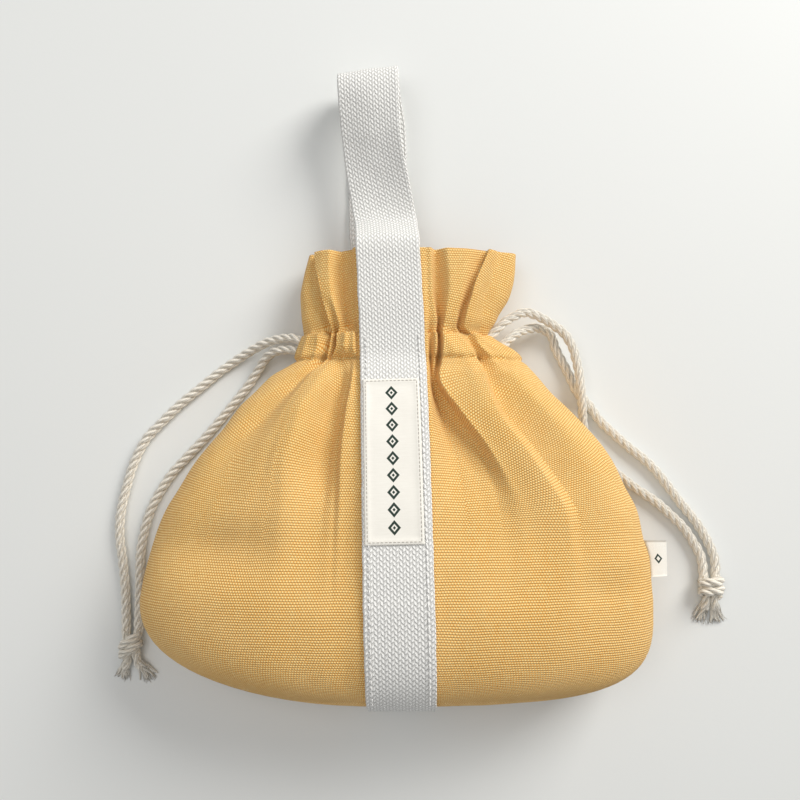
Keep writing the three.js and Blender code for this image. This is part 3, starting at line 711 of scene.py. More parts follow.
    def base(self, swell: Array, rim: Array, table: Array, panels: Sequence[Panel]) -> Array:
        """The rounded base: superellipses between its middle and the widest section.

        Args:
            swell: Angles from the base's middle, 0, to its widest section, 90 degrees.
            rim: The widest section, a point for each column.
            table: The columns.
            panels: The four panels.

        Returns:
            Points, a row for each angle and a column for each column.
        """
        size = self.sizes
        middle = np.array([STRAP_FRONT[0], 0.0, size.side_seam_height])
        owner = table[:, 0].astype(int)
        face = np.array([panels[k].face.value for k in owner])
        side = np.array([panels[k].side.value for k in owner])
        start = np.array([size.base_round])
        half = np.where(side > 0, self.right(start), self.left(start))
        laned = ~np.isnan(table[:, 3])
        sideways = np.where(laned, 0.0, np.minimum(1, (np.abs(rim[:, 0]) / half) ** size.crown_round))
        corner = np.where(side > 0, self.BASE_CORNER["right"], self.BASE_CORNER["left"])
        edge = np.where(face > 0, self.BASE_CORNER["top"], self.BASE_CORNER["bottom"])
        strip = np.where(face > 0, self.top(start), size.strap_lift)

        def rings(exponent: Array, height: Array) -> tuple[Array, Array, Array]:
            """Superellipses: x and z go out with sin^e of the swell and y falls with cos^e.

            Args:
                exponent: The exponent e for each column.
                height: The height of the widest section.

            Returns:
                x, y and z, a row for each angle.
            """
            ring = np.sin(swell)[:, None] ** exponent
            depth = np.maximum(0, np.cos(swell))[:, None] ** exponent
            x = middle[0] + (rim[:, 0] - middle[0]) * ring
            return x, size.base_round * (1 - depth), middle[2] + (height - middle[2]) * ring

        x, y, z = rings(2 / (edge + (corner - edge) * sideways), rim[:, 2])
        _, seat_y, seat_z = rings(2 / edge, strip)
        seated = (1 - smooth(np.abs(x - middle[0]), self.SEAT + 1, self.SEAT + 1 + self.BASE_BLEND)) * (1 - sideways)
        seated = np.where(laned, 1.0, seated)
        return np.stack([x, y + (seat_y - y) * seated, z + (seat_z - z) * seated], axis=-1)


@dataclass(frozen=True)
class ClothFinish:
    """A woven cloth: its colours, yarn spacings in millimetres and relief.

    Args:
        light: Colour of the yarns' crowns.
        dark: Colour between the yarns, painted shade in the gaps where the weave dips.
        pitch: Spacing across and along.
        relief: Bump height in millimetres.
        roughness: Of the yarns' crowns.
        sheen: Weight of the fuzz.
    """

    light: tuple[float, float, float]
    dark: tuple[float, float, float]
    pitch: tuple[float, float]
    relief: float
    roughness: float
    sheen: float


# Each cloth's dark colour is painted shade between its yarns: the materials mix towards it where the weave is low
CANVAS = ClothFinish((1.0, 0.775, 0.34), (0.76, 0.33, 0.04), (1.55, 1.42), 0.62, 0.86, 0.1)
WEBBING = ClothFinish((0.93, 0.925, 0.9), (0.64, 0.63, 0.6), (1.75, 2.9), 0.5, 0.9, 0.08)
LABEL = ClothFinish((0.92, 0.895, 0.83), (0.8, 0.765, 0.69), (0.6, 0.6), 0.1, 0.85, 0.06)
ROPE = ClothFinish((0.93, 0.89, 0.8), (0.6, 0.53, 0.42), (0.25, 1.5), 0.25, 0.92, 0.2)
ORNAMENT = (0.025, 0.045, 0.035)


class Signal:
    """A value in a material's graph: arithmetic on it adds Math nodes."""

    def __init__(self, graph: "Graph", socket: bpy.types.NodeSocket) -> None:
        """Wraps an output socket.

        Args:
            graph: The graph it is in.
            socket: The output.
        """
        self.graph = graph
        self.socket = socket

    def math(self, operation: str, *others: "Signal | float") -> "Signal":
        """A Math node on this value and others.

        Args:
            operation: The node's operation.
            others: Its further inputs.

        Returns:
            The result.
        """
        return self.graph.math(operation, self, *others)

    def __add__(self, other: "Signal | float") -> "Signal":
        """The sum of this value and another.

        Args:
            other: The other value.

        Returns:
            The result.
        """
        return self.math("ADD", other)

    __radd__ = __add__

    def __sub__(self, other: "Signal | float") -> "Signal":
        """This value minus another.

        Args:
            other: The other value.

        Returns:
            The result.
        """
        return self.math("SUBTRACT", other)

    def __rsub__(self, other: "Signal | float") -> "Signal":
        """Another value minus this one.

        Args:
            other: The other value.

        Returns:
            The result.
        """
        return self.graph.math("SUBTRACT", other, self)

    def __mul__(self, other: "Signal | float") -> "Signal":
        """The product of this value and another.

        Args:
            other: The other value.

        Returns:
            The result.
        """
        return self.math("MULTIPLY", other)

    __rmul__ = __mul__

    def __truediv__(self, other: "Signal | float") -> "Signal":
        """This value over another.

        Args:
            other: The other value.

        Returns:
            The result.
        """
        return self.math("DIVIDE", other)

    def __rtruediv__(self, other: "Signal | float") -> "Signal":
        """Another value over this one.

        Args:
            other: The other value.

        Returns:
            The result.
        """
        return self.graph.math("DIVIDE", other, self)

    def __neg__(self) -> "Signal":
        """This value with its sign changed.

        Returns:
            The result.
        """
        return self.math("MULTIPLY", -1.0)

    def step(self, low: float, high: float) -> "Signal":
        """Smoothstep of this value between two limits.

        Args:
            low: Where it is 0.
            high: Where it is 1.

        Returns:
            The step.
        """
        settings = {"interpolation_type": "SMOOTHSTEP"}
        node = self.graph.node("ShaderNodeMapRange", settings, {"Value": self, "From Min": low, "From Max": high})
        return Signal(self.graph, node.outputs["Result"])


class Graph:
    """A material's node graph, built by plain calls."""

    def __init__(self, name: str) -> None:
        """Makes the material with one shader.

        Args:
            name: The material's name.
        """
        self.material = bpy.data.materials.new(name)
        self.material.use_nodes = True
        self.tree = self.material.node_tree
        self.shader = self.tree.nodes["Principled BSDF"]

    def node(self, kind: str, settings: dict | None = None, inputs: dict | None = None) -> bpy.types.Node:
        """Adds a node.

        Args:
            kind: Its type.
            settings: Attributes, set first.
            inputs: Values or links by socket name or number.

        Returns:
            The node.
        """
        node = self.tree.nodes.new(kind)
        for key, value in (settings or {}).items():
            setattr(node, key, value)
        for key, value in (inputs or {}).items():
            self.feed(node.inputs[key], value)
        return node

    def feed(self, socket: bpy.types.NodeSocket, value: object) -> None:
        """Sets or links an input.

        Args:
            socket: The input.
            value: A Signal, an output socket or a plain value.
        """
        if isinstance(value, Signal):
            value = value.socket
        if isinstance(value, bpy.types.NodeSocket):
            self.tree.links.new(value, socket)
        else:
            socket.default_value = value

    def math(self, operation: str, *values: Signal | float) -> Signal:
        """A Math node.

        Args:
            operation: Its operation.
            values: Its inputs in order.

        Returns:
            The result.
        """
        node = self.node("ShaderNodeMath", {"operation": operation}, dict(enumerate(values)))
        return Signal(self, node.outputs[0])

    def cloth(self) -> tuple[Signal, Signal]:
        """The cloth's own coordinates.

        Returns:
            Millimetres across and along the cloth.
        """
        uv = self.node("ShaderNodeUVMap", {"uv_map": "cloth"})
        parts = self.node("ShaderNodeSeparateXYZ", inputs={"Vector": uv.outputs["UV"]})
        return Signal(self, parts.outputs["X"]), Signal(self, parts.outputs["Y"])

    def noise(self, across: Signal | float, along: Signal | float, detail: float = 2.0) -> Signal:
        """Noise over two coordinates.

        Args:
            across: The first, in cells.
            along: The second, in cells.
            detail: Octaves.

        Returns:
            Values about 0.5.
        """
        place = self.node("ShaderNodeCombineXYZ", inputs={"X": across, "Y": along})
        inputs = {"Vector": place.outputs[0], "Scale": 1.0, "Detail": detail}
        return Signal(self, self.node("ShaderNodeTexNoise", inputs=inputs).outputs["Fac"])

    def place_noise(self, scale: float, detail: float = 2.0) -> Signal:
        """Noise over the object's own space.

        Args:
            scale: Cells per metre.
            detail: Octaves.

        Returns:
            Values about 0.5.
        """
        place = self.node("ShaderNodeTexCoord").outputs["Object"]
        inputs = {"Vector": place, "Scale": scale, "Detail": detail}
        return Signal(self, self.node("ShaderNodeTexNoise", inputs=inputs).outputs["Fac"])

    def mix(self, share: Signal | float, low: object, high: object, blend: str = "MIX") -> bpy.types.NodeSocket:
        """Mixes two colours.

        Args:
            share: How much of the second.
            low: The first colour, as three numbers or a socket.
            high: The second.
            blend: The kind of mix.

        Returns:
            The colour socket.
        """
        colours = {"A": low, "B": high}
        plain = {key: (*value, 1.0) if isinstance(value, tuple) else value for key, value in colours.items()}
        node = self.node("ShaderNodeMix", {"data_type": "RGBA", "blend_type": blend})
        self.feed(node.inputs[0], share)
        self.feed(node.inputs[6], plain["A"])
        self.feed(node.inputs[7], plain["B"])
        return node.outputs[2]

    def finish(self, colour: object, roughness: object, height: Signal, relief: float,
               sheen: float) -> bpy.types.Material:
        """Connects the shader.

        Args:
            colour: The base colour.
            roughness: The roughness.
            height: The bump's height from 0 to 1.
            relief: What 1 is in millimetres.
            sheen: Weight of the fuzz.

        Returns:
            The material.
        """
        bump = self.node("ShaderNodeBump", inputs={"Height": height, "Distance": relief * MM, "Strength": 1.0})
        self.feed(self.shader.inputs["Base Color"], colour)
        self.feed(self.shader.inputs["Roughness"], roughness)
        self.feed(self.shader.inputs["Normal"], bump.outputs["Normal"])
        self.shader.inputs["Sheen Weight"].default_value = sheen
        self.shader.inputs["Sheen Roughness"].default_value = 0.6
        self.shader.inputs["Specular IOR Level"].default_value = 0.25
        return self.material


def canvas_material(finish: ClothFinish) -> bpy.types.Material:
    """Heavy plain-woven canvas: rows of pips, each row half a pip further on.

    With u and v in yarn spacings P and Q, c = cos(pi v / Q): |c|^0.6 (0.72 + 0.28 cos(2 pi u / P) sign(c)).

    Args:
        finish: The cloth's finish.

    Returns:
        The material.
    """
    graph = Graph("canvas")
    across, along = graph.cloth()
    drift = (graph.noise(across / 30.0, along / 30.0) - 0.5) * 1.6
    u = ((across + drift) * (2 * math.pi / finish.pitch[0])).math("COSINE")
    v = ((along + drift) * (math.pi / finish.pitch[1])).math("COSINE")
    pips = v.math("ABSOLUTE").math("POWER", 0.6) * (0.72 + u * v.math("SIGN") * 0.28)
    slub = graph.noise(across / 6.0, along / 1.4, 1.0) * 0.5 + graph.noise(across / 1.5, along / 9.0, 1.0) * 0.5
    height = pips * (slub * 0.5 + 0.75)
    # Painted shade: the colour goes dark from the pips' crowns into the gaps between them; the slub term is the
    # yarn's own uneven tone
    tone = pips.step(0.2, 0.95) * 0.9 + (slub - 0.5) * 0.6 + 0.04
    base = graph.mix(tone.math("MAXIMUM", 0.0).math("MINIMUM", 1.0), finish.dark, finish.light)
    patch = graph.place_noise(22.0, 3.0).step(0.3, 0.75)
    colour = graph.mix(patch * 0.16, base, (0.99, 0.71, 0.33))
    fibres = graph.noise(across * 2.2, along * 2.2, 2.0)
    return graph.finish(colour, finish.roughness - pips * 0.06, height + fibres * 0.16, finish.relief, finish.sheen)


def webbing_material(finish: ClothFinish) -> bpy.types.Material:
    """Thick cotton webbing: columns of slanted floats that meet in chevrons, each float a rounded bar.

    Args:
        finish: The webbing's finish.

    Returns:
        The material.
    """
    graph = Graph("webbing")
    across, along = graph.cloth()
    wobble = (graph.noise(across / 5.0, along / 5.0) - 0.5) * 1.3
    column = (across + wobble * 0.3) / finish.pitch[0]
    odd = column.math("FLOOR").math("FLOORED_MODULO", 2.0)
    share = column.math("FRACT")
    phase = (along + wobble) / finish.pitch[1] + odd * 0.5 + (share - 0.5) * (1.0 - odd * 2.0) * 0.4
    floats = (phase * (2 * math.pi)).math("COSINE") * 0.5 + 0.5
    groove = (share * math.pi).math("SINE").math("MAXIMUM", 0.0).math("POWER", 0.55)
    height = floats.step(0.0, 0.75) * groove
    grain = graph.noise(across * 1.6, along * 0.9, 2.0)
    # Painted shade: darker in the grooves between the floats, where the height is low; the grain term is the yarn's
    # own uneven tone
    tone = (height * 0.85 + grain * 0.3).math("MINIMUM", 1.0)
    colour = graph.mix(tone, finish.dark, finish.light)
    return graph.finish(colour, finish.roughness, height + grain * 0.25, finish.relief, finish.sheen)


def fine_material(name: str, finish: ClothFinish,
                  mark: Callable[[Signal, Signal], Signal] | None = None) -> bpy.types.Material:
    """Fine plain-woven cloth, with a woven ornament where one is given.

    Args:
        name: The material's name.
        finish: The cloth's finish.
        mark: A function from the cloth's coordinates to the ornament's mask, or None.

    Returns:
        The material.
    """
    graph = Graph(name)
    across, along = graph.cloth()
    warp = (across * (2 * math.pi / finish.pitch[0])).math("COSINE")
    weft = (along * (2 * math.pi / finish.pitch[1])).math("COSINE")
    weave = warp * weft * 0.5 + 0.5
    slub = graph.noise(across / 9.0, along * 1.4, 2.0)
    # Painted shade: darker between the threads, where the weave is low; the slub term is the yarn's own uneven tone
    tone = (weave * 0.5 + slub * 0.6).math("MINIMUM", 1.0)
    colour = graph.mix(tone, finish.dark, finish.light)
    height = weave * 0.6 + slub * 0.4
    if mark is not None:
        mask = mark(across, along)
        colour = graph.mix(mask, colour, ORNAMENT)
        height = height + mask * 0.6
    return graph.finish(colour, finish.roughness, height, finish.relief, finish.sheen)


def rope_material(finish: ClothFinish) -> bpy.types.Material:
    """Soft twisted cotton: fine yarns that run round each ply at their own slant.

    Args:
        finish: The rope's finish.

    Returns:
        The material.
    """
    graph = Graph("rope")
    around, along = graph.cloth()
    yarns = (around * 7.0 + along / 4.2).math("FRACT").math("PINGPONG", 0.5) * 2.0
    fuzz = graph.place_noise(900.0, 3.0)
    height = yarns.math("POWER", 0.6) * 0.7 + fuzz * 0.5
    # Painted shade: darker in the grooves between the yarns; the fuzz term is the fibres' own uneven tone
    tone = (yarns.step(0.0, 0.6) * 0.6 + fuzz * 0.55).math("MINIMUM", 1.0)
    colour = graph.mix(tone, finish.dark, finish.light)
    return graph.finish(colour, finish.roughness, height, finish.relief, finish.sheen)


def lozenge_chain(across: Signal, along: Signal) -> Signal:
    """A chain of woven lozenges up the label's middle, |u| / a + |v| / b < 1 in each repeat.

    Args:
        across: Millimetres from the label's middle line.
        along: Millimetres from its lower end.

    Returns:
        The mask.
    """
    repeat, half, wide = 9.4, 4.2, 3.6
    local = (along - 4.5).math("FLOORED_MODULO", repeat) - repeat / 2
    spread = across.math("ABSOLUTE") / wide + local.math("ABSOLUTE") / half
    ring = 1.0 - ((spread - 0.74).math("ABSOLUTE")).step(0.2, 0.27)
    dot = 1.0 - spread.step(0.2, 0.28)
    ends = along.step(4.4, 4.6) * (1.0 - along.step(88.4, 88.6))
    return ring.math("MAXIMUM", dot) * ends


def single_lozenge(across: Signal, along: Signal) -> Signal:
    """One small woven lozenge on the tag.

    Args:
        across: Millimetres from the tag's seam.
        along: Millimetres from its lower edge.

    Returns:
        The mask.
    """
    spread = (across - 5.2).math("ABSOLUTE") / 2.4 + (along - 10.5).math("ABSOLUTE") / 3.0
    return 1.0 - ((spread - 0.75).math("ABSOLUTE")).step(0.2, 0.3)


class Canvas:
    """The bag's cloth: one closed shell, an outer face and a lining joined round the rim."""

    STEP = 1.75

    def __init__(self, form: BagForm) -> None:
        """Lays out the columns and rows.

        Args:
            form: The bag's form.
        """
        self.form = form
        size = form.sizes
        self.panels = [
            Panel(Face.FRONT, Side.RIGHT, RIGHT_FOLDS),
            Panel(Face.FRONT, Side.LEFT, LEFT_FOLDS),
            Panel(Face.BACK, Side.LEFT, BACK_FOLDS),
            Panel(Face.BACK, Side.RIGHT, BACK_FOLDS),
        ]
        widest = size.body_width / 2 - form.SEAT
        rows = []
        for k, step in enumerate((self.STEP, self.STEP, 2.6 * self.STEP, 2.6 * self.STEP)):
            panel = self.panels[k]
            places = panel.columns(widest, step)
            block = np.column_stack([np.full(len(places), k), places, np.full(len(places), np.nan)])
            last = len(panel.folds) + 1
            if k in (0, 2):
                rows.append(np.vstack([[[k, last, 0.0, np.nan]], block[::-1]]))
            else:
                rows.append(block)
            if k in (0, 2):
                lanes = form.LANES if k == 0 else form.LANES[::-1]
                rows.append(np.array([[k, 0, 0.0, lane] for lane in lanes]))
        self.table = np.vstack(rows)
        body = np.linspace(size.base_round, 186, 52)[1:]
        gather = np.linspace(186, size.body_length + 2, 14)[1:]
        tunnel = np.linspace(size.body_length + 2, size.casing_top - 2, 8)[1:]
        ledge = np.linspace(size.casing_top - 2, size.casing_top + 2, 12)[1:]
        frill = np.linspace(size.casing_top + 2, size.rim, 34)[1:]
        self.wall = np.r_[size.base_round, body, gather, tunnel, ledge, frill]
        self.swell = np.radians(np.linspace(5, 90, 22))[:-1]

    def grid(self) -> Array:
        """The outer face's points.

        Returns:
            Points, a row for each ring from the base to the rim.
        """
        wall = self.form.surface(self.panels, self.table, self.wall)
        base = self.form.base(self.swell, wall[0], self.table, self.panels)
        points = np.concatenate([base, wall])
        points[..., 2] = np.maximum(points[..., 2], 0.05)
        return points

    def normals(self, points: Array) -> Array:
        """Outward normals of the grid: the cross product of the steps along it and round it.

        Args:
            points: The outer face.

        Returns:
            A unit normal for each point.
        """
        around = np.roll(points, -1, axis=1) - np.roll(points, 1, axis=1)
        return unit(np.cross(np.gradient(points, axis=0), around))

    def cloth_coordinates(self, points: Array) -> Array:
        """UVs in millimetres for each corner of the outer quads, so that the weave keeps its pitch.

        Each lobe between two valleys has its own middle column: v is the way along that column, u the way across from
        it, sqrt(arc^2 - dv^2), and both start at the widest ring. The lower body, where the lobes are wide, goes over
        to one sheet: u the way round the widest ring and v the way along each column. Near the base's middle the
        cloth is laid flat: u = x, v = -z.

        Args:
            points: The outer face.

        Returns:
            An array of quads by corners by two.
        """
        rows, columns = points.shape[:2]
        ring = np.concatenate([points, points[:, :1]], axis=1)
        chords = np.linalg.norm(np.diff(ring, axis=1), axis=2)
        around = np.concatenate([np.zeros((rows, 1)), np.cumsum(chords, axis=1)], axis=1)
        steps = np.linalg.norm(np.diff(ring, axis=0), axis=2)
        along = np.concatenate([np.zeros((1, columns + 1)), np.cumsum(steps, axis=0)], axis=0)
        tangent = unit(np.gradient(ring, axis=0))
        valleys, lanes = self.lobes()
        bounds = np.array([0, *valleys, columns])
        widest = len(self.swell) + 2
        along = along - along[widest]
        rings = np.r_[np.zeros(len(self.swell)), self.wall]
        folded = smooth(rings, 85, 150)[:, None]
        uv = np.zeros((rows - 1, columns, 4, 2))
        for first, last in zip(bounds[:-1], bounds[1:]):
            inside = [c for c in lanes if first <= c <= last]
            middle = inside[0] if inside else (first + last) // 2
            c = np.arange(first, last + 1)
            offset = ring[:, c] - ring[:, middle : middle + 1]
            slide = np.sum(offset * tangent[:, middle : middle + 1], axis=2)
            arc = around[:, c] - around[:, middle : middle + 1]
            u = around[widest, middle] + np.sign(arc) * np.sqrt(np.maximum(arc**2 - slide**2, 0))
            u = around[widest, c] + (u - around[widest, c]) * folded
            v = along[:, c] + (along[:, middle : middle + 1] + slide - along[:, c]) * folded
            block = np.stack([u, v], axis=-1)
            low, high = block[:-1], block[1:]
            uv[:, first:last] = np.stack([low[:, :-1], high[:, :-1], high[:, 1:], low[:, 1:]], axis=2)
        flat = np.stack([ring[..., 0], -ring[..., 2]], axis=-1)
        low, high = flat[:-1], flat[1:]
        planar = np.stack([low[:, :-1], high[:, :-1], high[:, 1:], low[:, 1:]], axis=2)
        count = int(np.searchsorted(self.swell, math.radians(30)))
        uv[:count] = planar[:count]
        return uv.reshape(-1, 4, 2)

    def lobes(self) -> tuple[list[int], list[int]]:
        """Where the valleys and the strap's middle lanes are among the columns.

        Returns:
            The valleys' columns and the lanes'.
        """
        valleys, lanes = [], []
        for c, (owner, line, share, lane) in enumerate(self.table):
            folds = self.panels[int(owner)].folds
            if lane == 0:
                lanes.append(c)
            elif np.isnan(lane) and share == 0 and 0 < line <= len(folds) and folds[int(line) - 1].kind is VALLEY:
                valleys.append(c)
        return valleys, lanes

    def make(self, material: bpy.types.Material) -> bpy.types.Object:
        """Builds the piece.

        Args:
            material: Its material.

        Returns:
            The object.
        """
        outer = self.grid()
        rows, columns = outer.shape[:2]
        inner = outer - self.normals(outer) * self.form.sizes.cloth
        inner[..., 2] = np.maximum(inner[..., 2], 0.6)
        quads = grid_faces(rows, columns, wrap_columns=True)
        uv = self.cloth_coordinates(outer)
        shape = Shape()
        shape.add(outer, quads, uv)
        shape.add(inner, quads[:, ::-1], uv[:, ::-1])
        lip = np.arange(columns)
        after = (lip + 1) % columns
        start = (rows - 1) * columns
        total = rows * columns
        rim = np.stack([start + lip, total + start + lip, total + start + after, start + after], axis=1)
        shape.faces.append(rim)
        near, far = uv[-columns:, 1], uv[-columns:, 2]
        shape.corners.append(np.stack([near, near, far, far], axis=1).reshape(-1, 2))
        middle = np.array([STRAP_FRONT[0], 0.0, self.form.sizes.side_seam_height])
        for first, depth, turned in ((0, 0.0, False), (total, self.form.sizes.cloth, True)):
            hub = shape.count
            fan = np.stack([np.full(columns, hub), first + lip, first + after], axis=1)
            fan = fan[:, ::-1] if turned else fan
            shape.vertices.append((middle + np.array([0, depth, 0]))[None])
            shape.count += 1
            shape.faces.append(fan)
            flat = np.vstack([outer.reshape(-1, 3), inner.reshape(-1, 3), middle[None], middle[None]])[fan]
            shape.corners.append(np.stack([flat[..., 0], -flat[..., 2]], axis=-1).reshape(-1, 2))
        piece = shape.build("canvas_cloth")
        piece.data.materials.append(material)
        LOG.info("canvas: %d columns, %d rings, %d faces", columns, rows, len(piece.data.polygons))
        return piece


class Strap:
    """The closed band of webbing with its handle loop, its stitches and the label."""

    STEP = 1.3

    def __init__(self, form: BagForm) -> None:
        """Works out the strap's path.

        Args:
            form: The bag's form.
        """
        self.form = form
        size = form.sizes
        swell = np.radians([9, 18, 28, 38, 48, 58, 68, 79])
        middle = np.array([STRAP_FRONT[0], 0.0, size.side_seam_height])
        exponents = {Face.FRONT: 2 / form.BASE_CORNER["top"], Face.BACK: 2 / form.BASE_CORNER["bottom"]}
        y = np.r_[np.linspace(size.base_round, size.body_length, 15), np.linspace(size.body_length, size.rim, 8)[1:]]
        heights = {Face.FRONT: form.top(y), Face.BACK: np.full_like(y, size.strap_lift)}
        axes = {Face.FRONT: form.front_axis, Face.BACK: form.back_axis}
        runs = {}
        for face in Face:
            ring = np.sin(swell) ** exponents[face]
            depth = np.cos(swell) ** exponents[face]
            curve_y = size.base_round * (1 - depth)
            curve_z = middle[2] + (heights[face][0] - middle[2]) * ring
            all_y, all_z = np.r_[curve_y, y], np.r_[curve_z, heights[face]]
            runs[face] = np.column_stack([axes[face](all_y), all_y, all_z, 0 * all_y, 0 * all_y])
        handle = np.array(HANDLE, float)
        loop = np.column_stack([
            handle[:, 2],
            size.rim + size.handle_reach * handle[:, 0],
            size.strap_lift + size.handle_rise * handle[:, 1],
            np.radians(handle[:, 3]),
            np.radians(handle[:, 4]),
        ])
        start = np.array([[*middle, 0.0, 0.0]])
        stops = np.vstack([start, runs[Face.FRONT], loop, runs[Face.BACK][::-1]])
        self.path = smooth_path(stops, self.STEP, closed=True)
        self.along = np.arange(len(self.path)) * self.STEP
        self.heading, self.out = self.directions()

    def directions(self) -> tuple[Array, Array]:
        """The direction across the band and out of it, at each sample.

        Returns:
            Unit vectors across and out.
        """
        points = self.path[:, :3]
        tangent = unit(np.roll(points, -1, axis=0) - np.roll(points, 1, axis=0))
        yaw, roll = self.path[:, 3], self.path[:, 4]
        level = np.stack([np.cos(yaw), np.sin(yaw), 0 * yaw], axis=1)
        level = unit(level - tangent * np.sum(level * tangent, axis=1, keepdims=True))
        heading = level * np.cos(roll)[:, None] + np.cross(tangent, level) * np.sin(roll)[:, None]
        return heading, unit(np.cross(heading, tangent))

    def place(self, index: Array, across: Array, lift: Array) -> Array:
        """Points beside the path.

        Args:
            index: Samples, whole or between.
            across: Millimetres across.
            lift: Millimetres out of the strap's inner face line.

        Returns:
            The points.
        """
        low = np.floor(index).astype(int) % len(self.path)
        high = (low + 1) % len(self.path)
        t = (index - np.floor(index))[..., None]
        centre = self.path[low, :3] * (1 - t) + self.path[high, :3] * t
        heading = unit(self.heading[low] * (1 - t) + self.heading[high] * t)
        out = unit(self.out[low] * (1 - t) + self.out[high] * t)
        return centre + heading * across[..., None] + out * lift[..., None]

    def index_at(self, y: float, face: Face) -> float:
        """The sample where the strap crosses y on a face.

        Args:
            y: The distance along the bag.
            face: The face.

        Returns:
            The sample's number, with its fraction.
        """
        top = int(np.argmax(self.path[:, 1]))
        samples = np.arange(top) if face is Face.FRONT else np.arange(len(self.path) - 1, top, -1)
        samples = samples[self.path[samples, 1] < self.form.sizes.rim + 20]
        rising = np.maximum.accumulate(self.path[samples, 1])
        return float(np.interp(y, rising, samples))

    def band(self, material: bpy.types.Material) -> bpy.types.Object:
        """The webbing: a flat section with rounded, slightly thicker selvages, carried round the closed path.

        Args:
            material: Its material.

        Returns:
            The object.
        """
        size = self.form.sizes
        half, thick = size.webbing_width / 2, size.webbing_thickness
        flat = np.linspace(-half + 1, half - 1, 17)
        turn = np.radians(np.linspace(-90, 90, 7))[1:-1]
        across = np.r_[flat, half - 1 + np.cos(turn), flat[::-1], -half + 1 - np.cos(turn)]
        lift = np.r_[0 * flat, thick / 2 * (1 + np.sin(turn)), thick + 0 * flat, thick / 2 * (1 - np.sin(turn))]
        selvage = 0.16 * smooth(np.abs(across), half - 3.2, half - 1.6) * np.sign(lift - thick / 2)
        count = len(self.path)
        index = np.arange(count, dtype=float)[:, None] + 0 * across[None]
        waver = 0.35 * noise(self.along[:, None] / 34, across[None] / 16, 21)
        waver = waver + 0.12 * noise(self.along[:, None] / 9, across[None] / 9, 22)
        edge = 0.22 * noise(self.along[:, None] / 6, np.sign(across)[None] * 3.5, 23) * np.sign(across)[None]
        wide = across[None] + edge * smooth(np.abs(across), half - 4, half)[None]
        free = smooth(self.path[:, 1], size.rim, size.rim + 15)[:, None]
        lifts = size.webbing_gap + lift[None] + selvage[None] + waver * (0.25 + 1.4 * free)
        grid = self.place(index, wide, lifts)
        grid[..., 2] = np.maximum(grid[..., 2], 0.0)
        steps = np.r_[0, np.cumsum(np.hypot(np.diff(across), np.diff(lift)))] - half + 1
        uv_across = np.r_[steps, steps[-1] + 1]
        quads = grid_faces(count, len(across), wrap_rows=True, wrap_columns=True)
        rows, columns = np.divmod(np.arange(len(quads)), len(across))
        low_v, high_v = self.along[rows], self.along[rows] + self.STEP
        left_u, right_u = uv_across[columns], uv_across[columns + 1]
        uv = np.stack([
            np.stack([left_u, low_v], 1), np.stack([left_u, high_v], 1),
            np.stack([right_u, high_v], 1), np.stack([right_u, low_v], 1),
        ], axis=1)
        shape = Shape()
        shape.add(grid, quads, uv)
        piece = shape.build("strap_webbing")
        piece.data.materials.append(material)
        LOG.info("strap: %d rows, path %.0f mm", count, count * self.STEP)
        return piece

    def stitches(self, material: bpy.types.Material) -> bpy.types.Object:
        """Rows of stitches that hold the strap on the bag, near both edges, front and back.

        Args:
            material: The thread's material.

        Returns:
            The object.
        """
        size = self.form.sizes
        shape = Shape()
        inset = size.webbing_width / 2 - 3.6
        for face in Face:
            top = size.strap_lift + (0.6 if face is Face.FRONT else -0.45)
            low, high = sorted((self.index_at(9.0, face), self.index_at(size.casing_top - 2, face)))
            for start in np.arange(low, high, 3.9 / self.STEP):
                for side in Side:
                    index = start + np.linspace(0, 2.7 / self.STEP, 5)
                    across = np.full(5, side.value * inset)
                    dip = top - 0.35 * np.abs(np.linspace(-1, 1, 5)) ** 3
                    tube(shape, self.place(index, across, dip), np.array([0.2, 0.36, 0.42, 0.36, 0.2]), 6)
        piece = shape.build("strap_stitches")
        piece.data.materials.append(material)
        return piece

    def label_grid(self) -> tuple[Array, Array, Array]:
        """The label's coordinates: places across, samples along and its top's lift over the strap.

        Returns:
            Grids of millimetres across, sample numbers and lift.
        """
        size = self.form.sizes
        low = self.index_at(size.label_start, Face.FRONT)
        half = size.label_width / 2
        rim = np.array([0, 0.3, 0.9, 1.7, 2.3, 2.8])
        u = np.r_[-half + rim, np.linspace(-half + 4, half - 4, 13), (half - rim)[::-1]]
        v = np.r_[rim, np.linspace(4, size.label_length - 4, 52), (size.label_length - rim)[::-1]]
        inset = np.minimum((half - np.abs(u))[None, :], np.minimum(v, size.label_length - v)[:, None])
        hem = 0.35 * smooth(inset, 0, 0.6) + 0.55 * smooth(inset, -0.4, 0.5) - 0.4 * smooth(inset, 2.4, 3.3)
        puff = 0.22 * noise(u[None] / 11, v[:, None] / 13, 31) * smooth(inset, 2, 6)
        wave = 0.25 * noise(np.sign(u)[None] * 2.5, v[:, None] / 7, 32) * (1 - smooth(inset, 0, 3)) * np.sign(u)[None]
        groove = -0.2 * bell(inset, 1.5, 0.3)
        across = u[None] - size.label_skew + wave
        index = low + v[:, None] / self.STEP + 0 * across
        return across, index, size.strap_lift + 0.3 + hem + puff + groove

